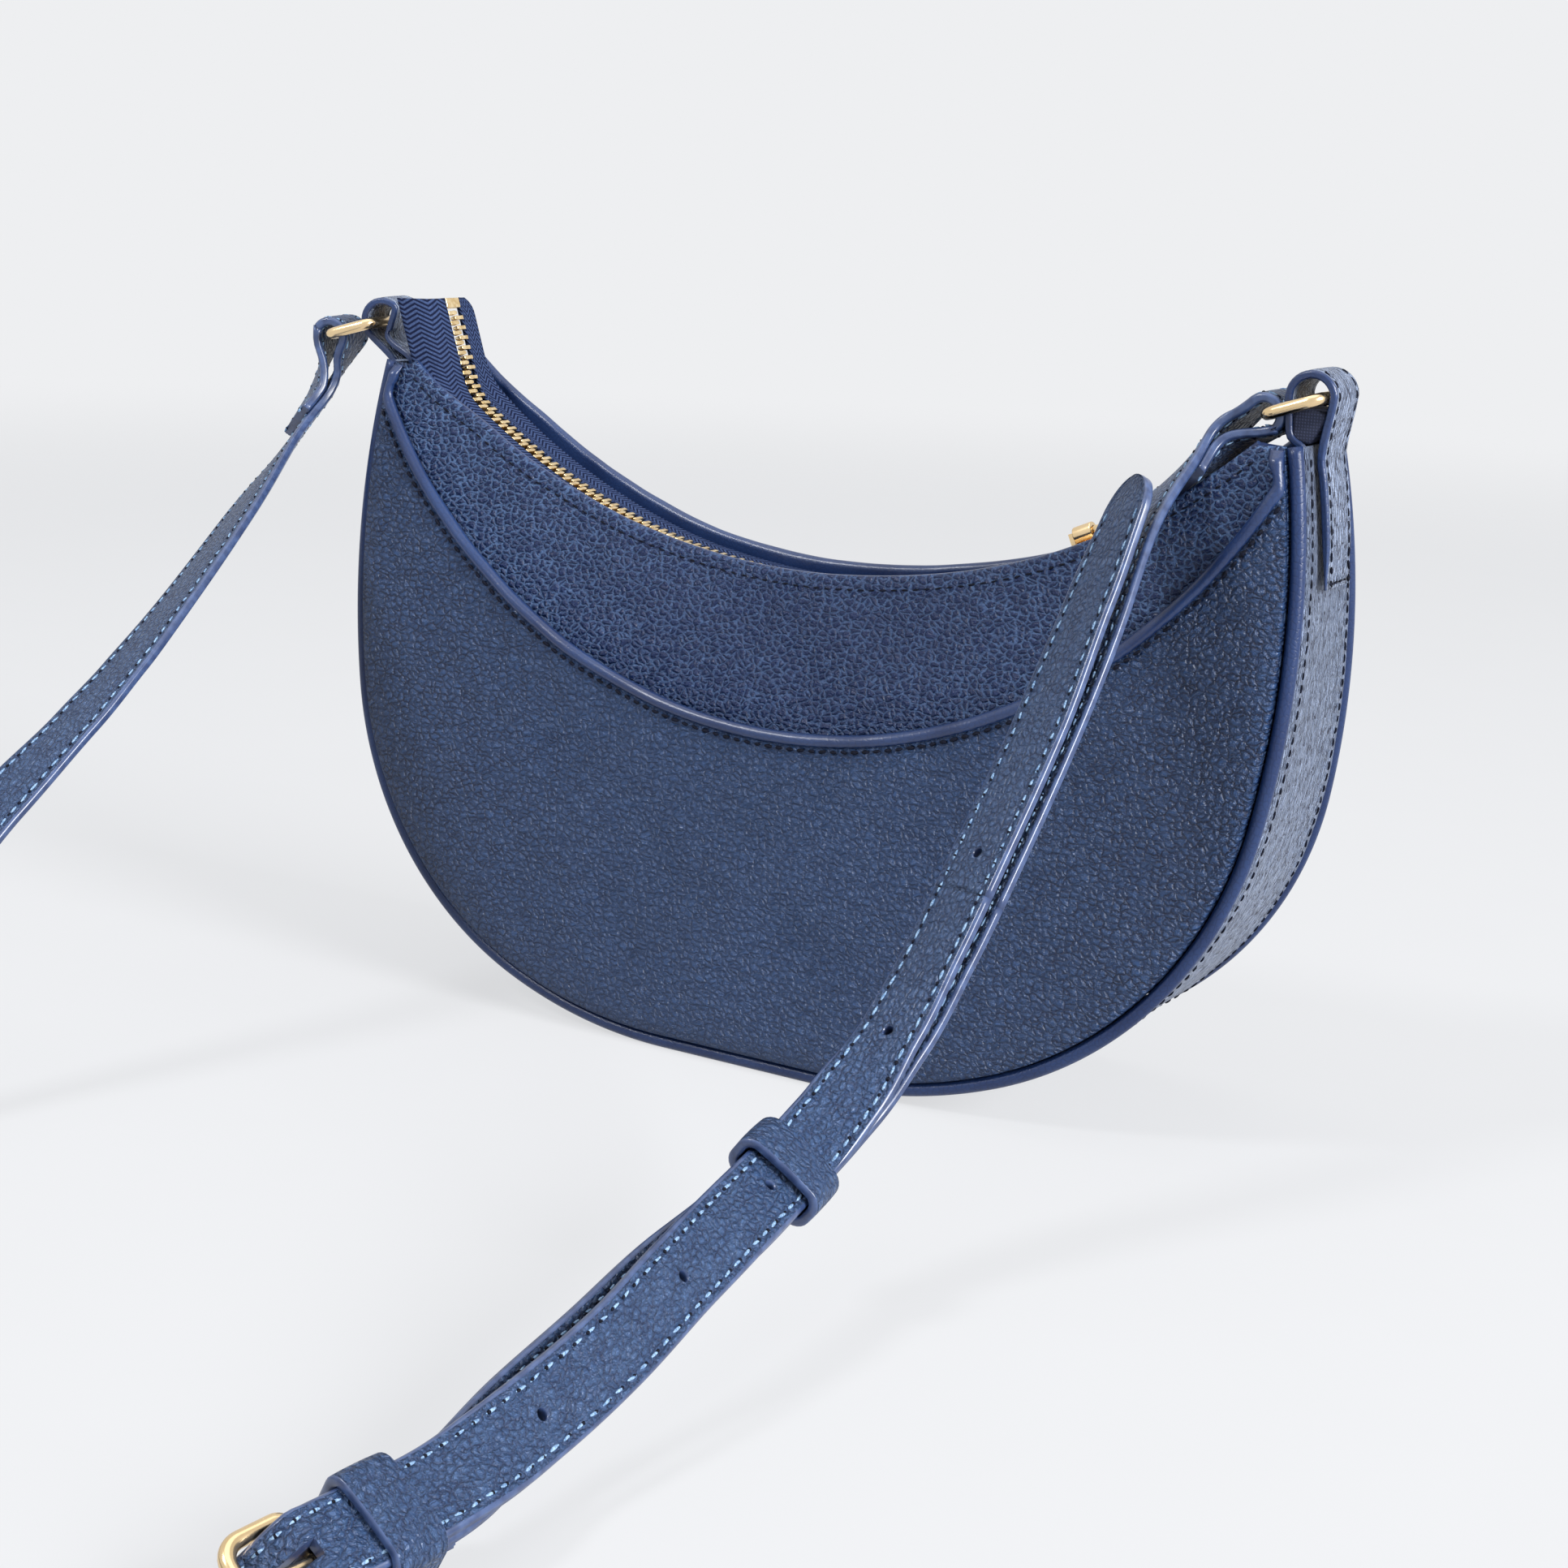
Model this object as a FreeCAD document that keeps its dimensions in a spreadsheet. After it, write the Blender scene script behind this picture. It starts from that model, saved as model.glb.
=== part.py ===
import FreeCAD, Part
import math
import os
import Sketcher

V = FreeCAD.Vector
doc = FreeCAD.newDocument("half_moon_bag")

# Driving dimensions, in millimetres and degrees.
SIZES = {
    # Crescent outline, from the flat of the base round to the tips.
    "half_width": 117.4,
    "base_flat": 40.0,
    "base_radius": 115.0,
    "base_sweep": 22.0,
    "shoulder_sweep": 80.0,
    "side_radius": 200.0,
    "tip_height": 148.0,
    "mouth_radius": 156.0,
    "mouth_low": 109.2,
    "base_half_depth": 29.2,
    "panel_lean": 6.0,
    # Leather, lining and seams.
    "leather": 1.4,
    "lining": 0.6,
    "lining_drop": 10.0,
    "seam_gap": 0.2,
    "piping_radius": 1.5,
    "facing_depth": 10.0,
    "pocket_radius": 124.4,
    "pocket_low": 76.2,
    "pocket_edge_width": 2.6,
    "pocket_edge_rise": 1.0,
    # Zip fastener.
    "zip_drop": 3.0,
    "zip_reach": 93.46,
    "zip_end_radius": 14.0,
    "zip_left_turn": 72.0,
    "zip_left_rise": 19.0,
    "zip_right_turn": 55.0,
    "zip_right_rise": 2.0,
    "tape_thick": 0.6,
    "tooth_pitch": 2.4,
    "tooth_thick": 1.1,
    "tooth_height": 1.5,
    "tooth_reach": 2.6,
    "tooth_hook": 0.6,
    "zip_open_half": 3.6,
    "slider_angle": 24.0,
    "slider_length": 10.0,
    "slider_width": 9.2,
    "slider_plate": 0.9,
    "slider_gap": 0.35,
    "crown_height": 2.2,
    "crown_radius": 0.8,
    "pull_length": 21.0,
    "pull_width": 4.4,
    "pull_thick": 1.2,
    "pull_wall": 1.0,
    "pull_play": 0.08,
    # Rings and the leather tabs that hold them.
    "ring_wire": 1.3,
    "ring_span": 11.5,
    "ring_corner": 2.4,
    "ring_play": 0.3,
    "tab_width": 14.0,
    "tab_thick": 1.6,
    "tab_bottom": 119.0,
    "tab_loop": 3.8,
    "left_twist": 15.0,
    "left_tab_out": 8.2,
    "left_tab_rise": 8.4,
    "right_tab_in": 1.6,
    "right_tab_rise": 9.1,
    # Strap, keepers and buckle.
    "strap_width": 14.0,
    "strap_thick": 2.0,
    "strap_loop": 2.6,
    "strap_fold_back": 15.0,
    "strap_play": 0.3,
    "keeper_wall": 1.2,
    "keeper_length": 9.0,
    "buckle_wire": 1.3,
    "buckle_span": 11.0,
    "buckle_corner": 1.8,
    "prong_radius": 0.9,
    "prong_slot": 3.2,
    "fold_length": 26.0,
    "keeper_back": 6.0,
}

sheet = doc.addObject("Spreadsheet::Sheet", "sheet")
for row, (alias, value) in enumerate(SIZES.items(), start=1):
    sheet.set("A%d" % row, alias)
    sheet.set("B%d" % row, str(value))
    sheet.setAlias("B%d" % row, alias)
doc.recompute()


def size(alias):
    return float(sheet.get(alias))


nodes = []


def node(obj, label):
    """Give a finished sub-part the name of its file."""
    obj.Label = label
    nodes.append(obj)
    return obj


def solid(label, shape):
    """A sub-part whose shape is built directly."""
    obj = doc.addObject("Part::Feature", label)
    obj.Shape = shape
    return node(obj, label)


# The crescent outline: arcs from the base to the tip, each arc tangent to the next.
def outline_arcs(inset, top):
    """Right-hand arcs as (centre x, centre z, radius, start, end), angles from straight down."""
    a1 = math.radians(size("base_sweep"))
    a2 = math.radians(size("shoulder_sweep"))
    flat = size("base_flat") / 2
    r1 = size("base_radius")
    r3 = size("side_radius")
    reach = size("half_width") - flat - r1 * math.sin(a1) - r3 * (1 - math.sin(a2))
    r2 = reach / (math.sin(a2) - math.sin(a1))
    x2 = flat + (r1 - r2) * math.sin(a1)
    z2 = r1 - (r1 - r2) * math.cos(a1)
    x3 = x2 + (r2 - r3) * math.sin(a2)
    z3 = z2 - (r2 - r3) * math.cos(a2)
    a3 = math.acos((z3 - top) / (r3 - inset))
    return [(flat, r1, r1 - inset, 0.0, a1),
            (x2, z2, r2 - inset, a1, a2),
            (x3, z3, r3 - inset, a2, a3)]


def arc(cx, cz, radius, start, end):
    """Arc whose angles are measured from straight down, turning towards +X."""
    circle = Part.Circle(V(cx, cz, 0), V(0, 0, 1), radius)
    return Part.ArcOfCircle(circle, start - math.pi / 2, end - math.pi / 2)


def outline(inset, top):
    """Open chain from the left tip round the base to the right tip."""
    right = outline_arcs(inset, top)
    left = [arc(-cx, cz, r, -end, -start) for cx, cz, r, start, end in reversed(right)]
    base = Part.LineSegment(left[-1].EndPoint, V(right[0][0], inset, 0))
    return left + [base] + [arc(*a) for a in right]


def closed(chain, *extra):
    """Close a chain with further curves, joined by straight edges where they do not meet."""
    out = []
    for curve in list(chain) + list(extra):
        if out and out[-1].EndPoint.distanceToPoint(curve.StartPoint) > 1e-6:
            out.append(Part.LineSegment(out[-1].EndPoint, curve.StartPoint))
        out.append(curve)
    if out[-1].EndPoint.distanceToPoint(out[0].StartPoint) > 1e-6:
        out.append(Part.LineSegment(out[-1].EndPoint, out[0].StartPoint))
    return out


def reverse_arc(cx, cz, radius, half_angle):
    """Arc over the bottom of a circle, run from right to left."""
    circle = Part.Circle(V(cx, cz, 0), V(0, 0, -1), radius)
    edge = Part.ArcOfCircle(circle, circle.parameter(V(cx + radius * math.sin(half_angle),
                                                       cz - radius * math.cos(half_angle), 0)),
                            circle.parameter(V(cx - radius * math.sin(half_angle),
                                               cz - radius * math.cos(half_angle), 0)))
    return edge


def crescent(inset, mouth_offset):
    """Closed crescent: the outline, the flat tips and the hollow of the mouth."""
    radius = size("mouth_radius") + mouth_offset
    centre = size("mouth_radius") + size("mouth_low")
    top = size("tip_height")
    half = math.acos((centre - top) / radius)
    edge_x = outline(inset, top)[-1].EndPoint.x
    if radius * math.sin(half) > edge_x:
        low = side_crossing(inset, centre, radius)
        half = math.asin(low.x / radius)
        top = low.y
    return closed(outline(inset, top), reverse_arc(0, centre, radius, half))


def side_crossing(inset, centre, radius):
    """Where a circle about (0, centre) meets the side arc of the outline, at its upper end."""
    cx, cz, side, start, end = outline_arcs(inset, size("tip_height"))[2]
    dx, dz = cx, cz - centre
    dist = math.hypot(dx, dz)
    along = (radius ** 2 - side ** 2 + dist ** 2) / (2 * dist)
    across = math.sqrt(radius ** 2 - along ** 2)
    ux, uz = dx / dist, dz / dist
    hits = [V(along * ux - k * across * uz, centre + along * uz + k * across * ux, 0)
            for k in (1, -1)]
    return max(hits, key=lambda p: p.x)


# Sketches and the solids pulled from them.
XZ = FreeCAD.Rotation(V(1, 0, 0), 90)
YZ = FreeCAD.Rotation(V(1, 1, 1), 120)


def sketch(name, curves, placement, radii=()):
    """A sketch on its own plane, with its arcs' radii bound to the sheet where named."""
    sk = doc.addObject("Sketcher::SketchObject", name)
    sk.Placement = placement
    ends = []
    drawn = []
    for curve in curves:
        backwards = hasattr(curve, "Axis") and curve.Axis.z < 0
        ends.append((2, 1) if backwards else (1, 2))
        if backwards:
            circle = Part.Circle(curve.Center, V(0, 0, 1), curve.Radius)
            curve = Part.ArcOfCircle(circle, circle.parameter(curve.EndPoint),
                                     circle.parameter(curve.StartPoint))
        drawn.append(curve)
    sk.addGeometry(drawn, False)
    count = len(curves)
    for i in range(count if count > 1 else 0):
        after = (i + 1) % count
        if curves[i].EndPoint.distanceToPoint(curves[after].StartPoint) < 1e-6:
            sk.addConstraint(Sketcher.Constraint("Coincident", i, ends[i][1], after, ends[after][0]))
    for index, expression in radii:
        made = sk.addConstraint(Sketcher.Constraint("Radius", index, curves[index].Radius))
        sk.setExpression("Constraints[%d]" % made, expression)
    return sk


def extrude(name, base, forward, backward="0"):
    """Solid pulled along the sketch's normal, by lengths bound to the sheet."""
    ext = doc.addObject("Part::Extrusion", name)
    ext.Base = base
    ext.DirMode = "Normal"
    ext.Solid = True
    ext.setExpression("LengthFwd", forward)
    ext.setExpression("LengthRev", backward)
    return ext


def common(name, base, tool):
    obj = doc.addObject("Part::Common", name)
    obj.Base = base
    obj.Tool = tool
    return obj


def panel_plane(side, depth):
    """Plane of a leaning panel, depth millimetres inside its outer face. The back is side -1."""
    lean = FreeCAD.Placement(V(0, side * size("base_half_depth"), 0),
                             FreeCAD.Rotation(V(1, 0, 0), side * size("panel_lean")))
    return lean.multiply(FreeCAD.Placement(V(0, -side * depth, 0), XZ))


def inward(name, base, side, thickness):
    """Pull a panel sketch towards the inside of the bag."""
    if side > 0:
        return extrude(name, base, thickness)
    return extrude(name, base, "0", thickness)


def side_radii(first, inset):
    """Radius constraints of the outline's six arcs that follow the sheet."""
    base = "sheet.base_radius - %r" % inset
    side = "sheet.side_radius - %r" % inset
    return [(first, side), (first + 2, base), (first + 4, base), (first + 6, side)]


def panel(name, side, depth, thickness, inset, mouth_offset):
    curves = crescent(inset, mouth_offset)
    sk = sketch(name + "_outline", curves, panel_plane(side, depth), side_radii(0, inset))
    return inward(name, sk, side, thickness)


def wedge(name, depth):
    """The space between planes that lie depth millimetres inside both panels."""
    lean = math.radians(size("panel_lean"))
    bottom, top = -5.0, size("tip_height") + 40.0
    half = size("base_half_depth") - depth / math.cos(lean)
    corners = [V(-half + bottom * math.tan(lean), bottom, 0), V(half - bottom * math.tan(lean), bottom, 0),
               V(half - top * math.tan(lean), top, 0), V(-half + top * math.tan(lean), top, 0)]
    curves = [Part.LineSegment(corners[i], corners[(i + 1) % 4]) for i in range(4)]
    sk = sketch(name + "_section", curves, FreeCAD.Placement(V(0, 0, 0), YZ))
    return extrude(name, sk, "sheet.half_width + 30", "sheet.half_width + 30")


# Shell of the bag. Depths are counted inwards from the panels' outer faces.
SIDES = {"back": -1, "front": 1}
gap = size("seam_gap")
pipe = size("piping_radius")
panel_inset = 2 * pipe + 2 * gap
facing_from = size("leather") + gap
facing_thick = "sheet.leather * 0.7"
lining_from = size("leather") + gap
inside_from = facing_from + 0.7 * size("leather") + gap
gusset_from = size("leather") + pipe + gap

for where, side in SIDES.items():
    node(panel(where + "_panel", side, 0.0, "sheet.leather", panel_inset, 0.0), where + "_panel")

    spine = sketch(where + "_piping_path", outline(pipe + gap, size("tip_height")),
                   panel_plane(side, size("leather")), side_radii(0, pipe + gap))
    tip = outline(pipe + gap, size("tip_height"))[0]
    start = spine.Placement.multVec(tip.StartPoint)
    ahead = spine.Placement.Rotation.multVec(tip.tangent(tip.FirstParameter)[0])
    ring = sketch(where + "_piping_section", [Part.Circle(V(0, 0, 0), V(0, 0, 1), pipe)],
                  FreeCAD.Placement(start, FreeCAD.Rotation(V(0, 0, 1), ahead)))
    ring.addConstraint(Sketcher.Constraint("Radius", 0, pipe))
    ring.setExpression("Constraints[0]", "sheet.piping_radius")
    cord = doc.addObject("Part::Sweep", where + "_piping")
    cord.Sections = [ring]
    cord.Spine = (spine, ["Edge%d" % (i + 1) for i in range(7)])
    cord.Solid = True
    cord.Frenet = False
    node(cord, where + "_piping")

    blank = panel(where + "_facing_blank", side, facing_from, facing_thick, panel_inset, 0.0)
    disc = doc.addObject("Part::Cylinder", where + "_facing_limit")
    disc.setExpression("Radius", "sheet.mouth_radius + sheet.facing_depth")
    disc.setExpression("Height", "2 * sheet.base_half_depth")
    disc.Placement = panel_plane(side, 0.0).multiply(
        FreeCAD.Placement(V(0, size("mouth_radius") + size("mouth_low"), -size("base_half_depth")),
                          FreeCAD.Rotation()))
    node(common(where + "_facing", blank, disc), where + "_facing")

    node(panel(where + "_lining", side, lining_from, "sheet.lining", panel_inset,
               size("facing_depth") + gap), where + "_lining")

# Slip pocket on the back: its panel, and the turned edge along its mouth.
pocket_out = -(size("leather") + gap)
pocket_centre = size("pocket_low") + size("pocket_radius")
lip = size("pocket_edge_width")
low_edge = size("pocket_radius") + lip / 2 + gap
meet = side_crossing(panel_inset, pocket_centre, low_edge)
pocket_curves = closed(outline(panel_inset, meet.y),
                       reverse_arc(0, pocket_centre, low_edge, math.asin(meet.x / low_edge)))
pocket_sketch = sketch("pocket_outline", pocket_curves, panel_plane(-1, pocket_out),
                       side_radii(0, panel_inset))
node(inward("pocket_panel", pocket_sketch, -1, "sheet.leather"), "pocket_panel")

upper_edge = size("pocket_radius") - lip / 2
lower_edge = size("pocket_radius") + lip / 2
turn = math.asin(side_crossing(panel_inset, pocket_centre, lower_edge).x / lower_edge) - math.radians(0.8)
edge_curves = closed([arc(0, pocket_centre, lower_edge, -turn, turn)],
                     reverse_arc(0, pocket_centre, upper_edge, turn))
edge_sketch = sketch("pocket_edge_outline", edge_curves,
                     panel_plane(-1, pocket_out - size("pocket_edge_rise")),
                     [(0, "sheet.pocket_radius + sheet.pocket_edge_width / 2")])
node(inward("pocket_edge", edge_sketch, -1, "sheet.leather + sheet.pocket_edge_rise"), "pocket_edge")


def strip(name, outer, inner, top, depth):
    """Strip that follows the outline between the two panels."""
    inside = outline(inner, top)
    backwards = [Part.ArcOfCircle(Part.Circle(c.Center, V(0, 0, -1), c.Radius),
                                  *flipped(c)) if hasattr(c, "Radius")
                 else Part.LineSegment(c.EndPoint, c.StartPoint) for c in reversed(inside)]
    sk = sketch(name + "_outline", closed(outline(outer, top), *backwards), FreeCAD.Placement(V(0, 0, 0), XZ),
                side_radii(0, outer))
    full = extrude(name + "_band", sk, "sheet.base_half_depth", "sheet.base_half_depth")
    return node(common(name, full, wedge(name + "_space", depth)), name)


def flipped(curve):
    """Parameters of an arc's ends on its circle turned over, so that it runs backwards."""
    circle = Part.Circle(curve.Center, V(0, 0, -1), curve.Radius)
    start = circle.parameter(curve.EndPoint)
    end = circle.parameter(curve.StartPoint)
    return (start, end if end > start else end + 2 * math.pi)


lean_cos = math.cos(math.radians(size("panel_lean")))
gusset_top = size("tip_height") * lean_cos
lining_top = gusset_top - size("lining_drop")
strip("gusset", 0.0, size("leather"), gusset_top, gusset_from)
strip("gusset_lining", size("leather") + gap, size("leather") + gap + size("lining"), lining_top,
      gusset_from)

# The zip runs along an arc just below the mouth and turns up at both ends.
zip_radius = size("mouth_radius") + size("zip_drop")
zip_centre = size("mouth_radius") + size("mouth_low")
zip_sweep = math.asin(size("zip_reach") / zip_radius)
zip_half = zip_radius * zip_sweep


def zip_turn(hand):
    return math.radians(size("zip_right_turn" if hand > 0 else "zip_left_turn"))


def zip_length(hand):
    """Length of the zip from the middle of the mouth to one end."""
    rise = size("zip_right_rise" if hand > 0 else "zip_left_rise")
    return zip_half + size("zip_end_radius") * (zip_turn(hand) - zip_sweep) + rise


def zip_point(along):
    """Position on the zip, and its slope, at a length along it from the middle, + to the right."""
    hand = 1 if along > 0 else -1
    run = abs(along)
    bend = size("zip_end_radius")
    if run <= zip_half:
        slope = run / zip_radius
        x = zip_radius * math.sin(slope)
        z = zip_centre - zip_radius * math.cos(slope)
    else:
        slope = min(zip_sweep + (run - zip_half) / bend, zip_turn(hand))
        rest = max(run - zip_half - bend * (zip_turn(hand) - zip_sweep), 0.0)
        x = size("zip_reach") + bend * (math.sin(slope) - math.sin(zip_sweep)) + rest * math.cos(slope)
        z = (zip_centre - zip_radius * math.cos(zip_sweep) + bend * (math.cos(zip_sweep) - math.cos(slope))
             + rest * math.sin(slope))
    return hand * x, z, hand * slope


def zip_frame(along, lift=0.0):
    """Placement on the zip: X along it, Y across the bag, Z up out of the mouth."""
    x, z, slope = zip_point(along)
    turned = FreeCAD.Rotation(V(0, 1, 0), -math.degrees(slope))
    return FreeCAD.Placement(V(x, 0, z) + turned.multVec(V(0, 0, lift)), turned)


slider_at = zip_radius * math.radians(size("slider_angle"))
tape_half = size("tape_thick") / 2
tape_edge = size("tooth_reach") + gap / 2


def tape_side(lift, first, last):
    """One face of the tape as arcs and straight ends, from the left to the right."""
    stops = [first]
    for mark in (-zip_length(-1) + size("zip_left_rise"), -zip_half, 0.0, zip_half,
                 zip_length(1) - size("zip_right_rise")):
        if first < mark < last:
            stops.append(mark)
    stops.append(last)
    points = [zip_frame(s, lift).Base for s in stops]
    curves = []
    for k in range(len(stops) - 1):
        start, end = V(points[k].x, points[k].z, 0), V(points[k + 1].x, points[k + 1].z, 0)
        middle = zip_frame((stops[k] + stops[k + 1]) / 2, lift).Base
        straight = abs(zip_point(stops[k])[2] - zip_point(stops[k + 1])[2]) < 1e-6
        if straight:
            curves.append(Part.LineSegment(start, end))
        else:
            curves.append(Part.ArcOfCircle(start, V(middle.x, middle.z, 0), end))
    return curves


def tape_wire(first, last):
    """Edges of the tape's cross-section along the zip, as one closed wire in the XZ plane."""
    lower = [c.toShape() for c in tape_side(-tape_half, first, last)]
    upper = [c.toShape() for c in tape_side(tape_half, first, last)]
    ends = [Part.LineSegment(lower[0].Vertexes[0].Point, upper[0].Vertexes[0].Point).toShape(),
            Part.LineSegment(lower[-1].Vertexes[-1].Point, upper[-1].Vertexes[-1].Point).toShape()]
    wire = Part.Wire(Part.__sortEdges__(lower + upper + ends))
    wire.Placement = FreeCAD.Placement(V(0, 0, 0), XZ)
    return wire


def tape_band(first, last, near):
    """Tape from one length to another, from its inner edge out to the widest part of the bag."""
    reach = size("base_half_depth")
    band = Part.Face(tape_wire(first, last)).extrude(V(0, reach - near, 0))
    band.translate(V(0, near, 0))
    return band


left_end, right_end = -zip_length(-1), zip_length(1)
pitch = size("tooth_pitch")
stop_room = 1.5 * pitch
closed_teeth = math.floor((slider_at - left_end - stop_room) / pitch)
open_from = left_end + stop_room + (closed_teeth + 0.25) * pitch
doc.recompute()
space = wedge("zip_space", inside_from)
doc.recompute()
for where, side in SIDES.items():
    shut = tape_band(left_end, open_from, tape_edge)
    opened = tape_band(open_from, right_end, tape_edge + size("zip_open_half"))
    tape = shut.fuse(opened).removeSplitter()
    if side < 0:
        tape = tape.mirror(V(0, 0, 0), V(0, 1, 0))
    solid("zip_tape_" + where, tape.common(space.Shape))


def tooth():
    """One tooth: a jaw on the tape edge, a neck, and a hooked head past the middle."""
    half = size("tooth_thick") / 2
    reach, hook = size("tooth_reach"), size("tooth_hook")
    outline_points = [V(-0.9 * half, reach, 0), V(0.9 * half, reach, 0), V(0.8 * half, 0.45 * reach, 0),
                      V(half, 0.1 * reach, 0), V(0.6 * half, -hook, 0), V(-0.6 * half, -hook, 0),
                      V(-half, 0.1 * reach, 0), V(-0.8 * half, 0.45 * reach, 0)]
    face = Part.Face(Part.makePolygon(outline_points + outline_points[:1]))
    shape = face.extrude(V(0, 0, size("tooth_height")))
    shape.translate(V(0, 0, -size("tooth_height") / 2))
    return shape


jaw = tooth()
for where, side in SIDES.items():
    chain = []
    along = left_end + stop_room + (pitch / 2 if side > 0 else 0.0)
    while along < right_end - stop_room:
        item = jaw.copy()
        if along > open_from:
            item.translate(V(0, size("zip_open_half"), 0))
        if side < 0:
            item = item.mirror(V(0, 0, 0), V(0, 1, 0))
        item.Placement = zip_frame(along).multiply(item.Placement)
        chain.append(item)
        along += pitch
    solid("zip_teeth_" + where, Part.makeCompound(chain))


def stop_block(along, near, far):
    """A pressed metal stop across the tape edges."""
    height = size("tooth_height")
    block = Part.makeBox(pitch, far - near, height, V(-pitch / 2, near, -height / 2))
    block.Placement = zip_frame(along).multiply(block.Placement)
    return block


reach = size("tooth_reach")
solid("zip_bottom_stop", stop_block(left_end + pitch / 2, -reach, reach))
wide = size("zip_open_half")
solid("zip_top_stops", Part.makeCompound([stop_block(right_end - pitch / 2, wide + gap, wide + reach),
                                          stop_block(right_end - pitch / 2, -wide - reach, -wide - gap)]))

# Slider: two tapered plates joined by a post, with a crown that carries the pull.
slider_home = zip_frame(slider_at)
plate_low = size("tooth_height") / 2 + size("slider_gap")
plate_top = plate_low + size("slider_plate")
half_long = size("slider_length") / 2
half_wide = size("slider_width") / 2
slider_curve = [V(-half_long, -0.64 * half_wide, 0), V(-0.2 * half_long, -0.76 * half_wide, 0),
                V(0.7 * half_long, -half_wide, 0), V(half_long, -0.86 * half_wide, 0),
                V(half_long, 0.86 * half_wide, 0), V(0.7 * half_long, half_wide, 0),
                V(-0.2 * half_long, 0.76 * half_wide, 0), V(-half_long, 0.64 * half_wide, 0)]
plate_lines = [Part.LineSegment(slider_curve[i], slider_curve[(i + 1) % len(slider_curve)])
               for i in range(len(slider_curve))]
pieces = []
for name, level in (("slider_top", plate_low), ("slider_bottom", -plate_top)):
    flat = sketch(name + "_outline", plate_lines, FreeCAD.Placement(V(0, 0, level), FreeCAD.Rotation()))
    pieces.append(extrude(name, flat, "sheet.slider_plate"))


def block(name, lengths, corner):
    """A box whose sides are bound to the sheet."""
    obj = doc.addObject("Part::Box", name)
    for prop, expression in zip(("Length", "Width", "Height"), lengths):
        obj.setExpression(prop, expression)
    obj.Placement.Base = corner
    return obj


post_half = 0.13 * size("slider_width")
pieces.append(block("slider_post", ("sheet.slider_length * 0.2", "sheet.slider_width * 0.26",
                                    "sheet.tooth_height + 2 * sheet.slider_gap"),
                    V(0.5 * half_long, -post_half, -plate_low)))
crown_z = plate_top + size("crown_height")
crown_half = size("pull_width") / 2 + size("strap_play")
leg = 1.0
for name, at in (("crown_left", -crown_half - leg), ("crown_right", crown_half)):
    pieces.append(block(name, ("1", "2 * sheet.crown_radius",
                               "sheet.crown_height + sheet.crown_radius"),
                        V(at, -size("crown_radius"), plate_top)))
bar = doc.addObject("Part::Cylinder", "crown_bar")
bar.setExpression("Radius", "sheet.crown_radius")
bar.Height = 2 * crown_half
bar.Placement = FreeCAD.Placement(V(-crown_half, 0, crown_z), FreeCAD.Rotation(V(0, 1, 0), 90))
pieces.append(bar)
slider = doc.addObject("Part::MultiFuse", "zip_slider")
slider.Shapes = pieces
slider.Placement = slider_home
node(slider, "zip_slider")

# Pull: a barrel round the crown and a rounded blade that lies over the edge of the front panel.
bore = size("crown_radius") + size("pull_play")
barrel_radius = bore + size("pull_wall")
blade_half = size("pull_width") / 2
blade_end = size("pull_length") - blade_half
blade_curves = closed([Part.LineSegment(V(-blade_half, 0, 0), V(-blade_half, blade_end, 0)),
                       Part.ArcOfCircle(V(-blade_half, blade_end, 0),
                                        V(0, blade_end + blade_half, 0), V(blade_half, blade_end, 0)),
                       Part.LineSegment(V(blade_half, blade_end, 0), V(blade_half, 0, 0))])
blade_sketch = sketch("pull_blade_outline", blade_curves,
                      FreeCAD.Placement(V(0, 0, crown_z - size("pull_thick") / 2), FreeCAD.Rotation()),
                      [(1, "sheet.pull_width / 2")])
blade = extrude("pull_blade", blade_sketch, "sheet.pull_thick")
across = FreeCAD.Placement(V(-blade_half, 0, crown_z), FreeCAD.Rotation(V(0, 1, 0), 90))
barrel = doc.addObject("Part::Cylinder", "pull_barrel")
barrel.setExpression("Radius", "sheet.crown_radius + sheet.pull_play + sheet.pull_wall")
barrel.setExpression("Height", "sheet.pull_width")
barrel.Placement = across
hole = doc.addObject("Part::Cylinder", "pull_bore")
hole.setExpression("Radius", "sheet.crown_radius + sheet.pull_play")
hole.setExpression("Height", "sheet.pull_width")
hole.Placement = across
body = doc.addObject("Part::Fuse", "pull_blank")
body.Base = blade
body.Tool = barrel
pull = doc.addObject("Part::Cut", "zip_pull")
pull.Base = body
pull.Tool = hole
pull.Placement = slider_home
node(pull, "zip_pull")


# Leather loops: a strip folded round a metal bar, its two ends brought together or sewn down.
def rectangle(centre, wide_axis, thin_axis, width, thick):
    """Closed wire of a strip's cross-section."""
    u = wide_axis * (width / 2)
    n = thin_axis * (thick / 2)
    return Part.makePolygon([centre + u + n, centre - u + n, centre - u - n, centre + u - n, centre + u + n])


def ruled(wires):
    return Part.makeLoft(wires, True, True)


def folded_strip(centre, axis, foot, inner, thick, width, feet):
    """Half ring round a bar, with a leg from each of its ends through given cross-sections."""
    side = axis.cross(foot)
    outer = inner + thick
    frame = FreeCAD.Placement(centre - axis * (width / 2), FreeCAD.Rotation(side, foot * -1, axis, "XYZ"))
    big = Part.makeCylinder(outer, width, V(0, 0, 0), V(0, 0, 1), 180)
    small = Part.makeCylinder(inner, width, V(0, 0, 0), V(0, 0, 1), 180)
    half_ring = big.cut(small)
    half_ring.Placement = frame
    shape = half_ring
    for sign, end in zip((1, -1), feet):
        start = rectangle(centre + side * (sign * (inner + thick / 2)), axis, side, width, thick)
        shape = shape.fuse(ruled([start] + end))
    return shape.removeSplitter()


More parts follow.
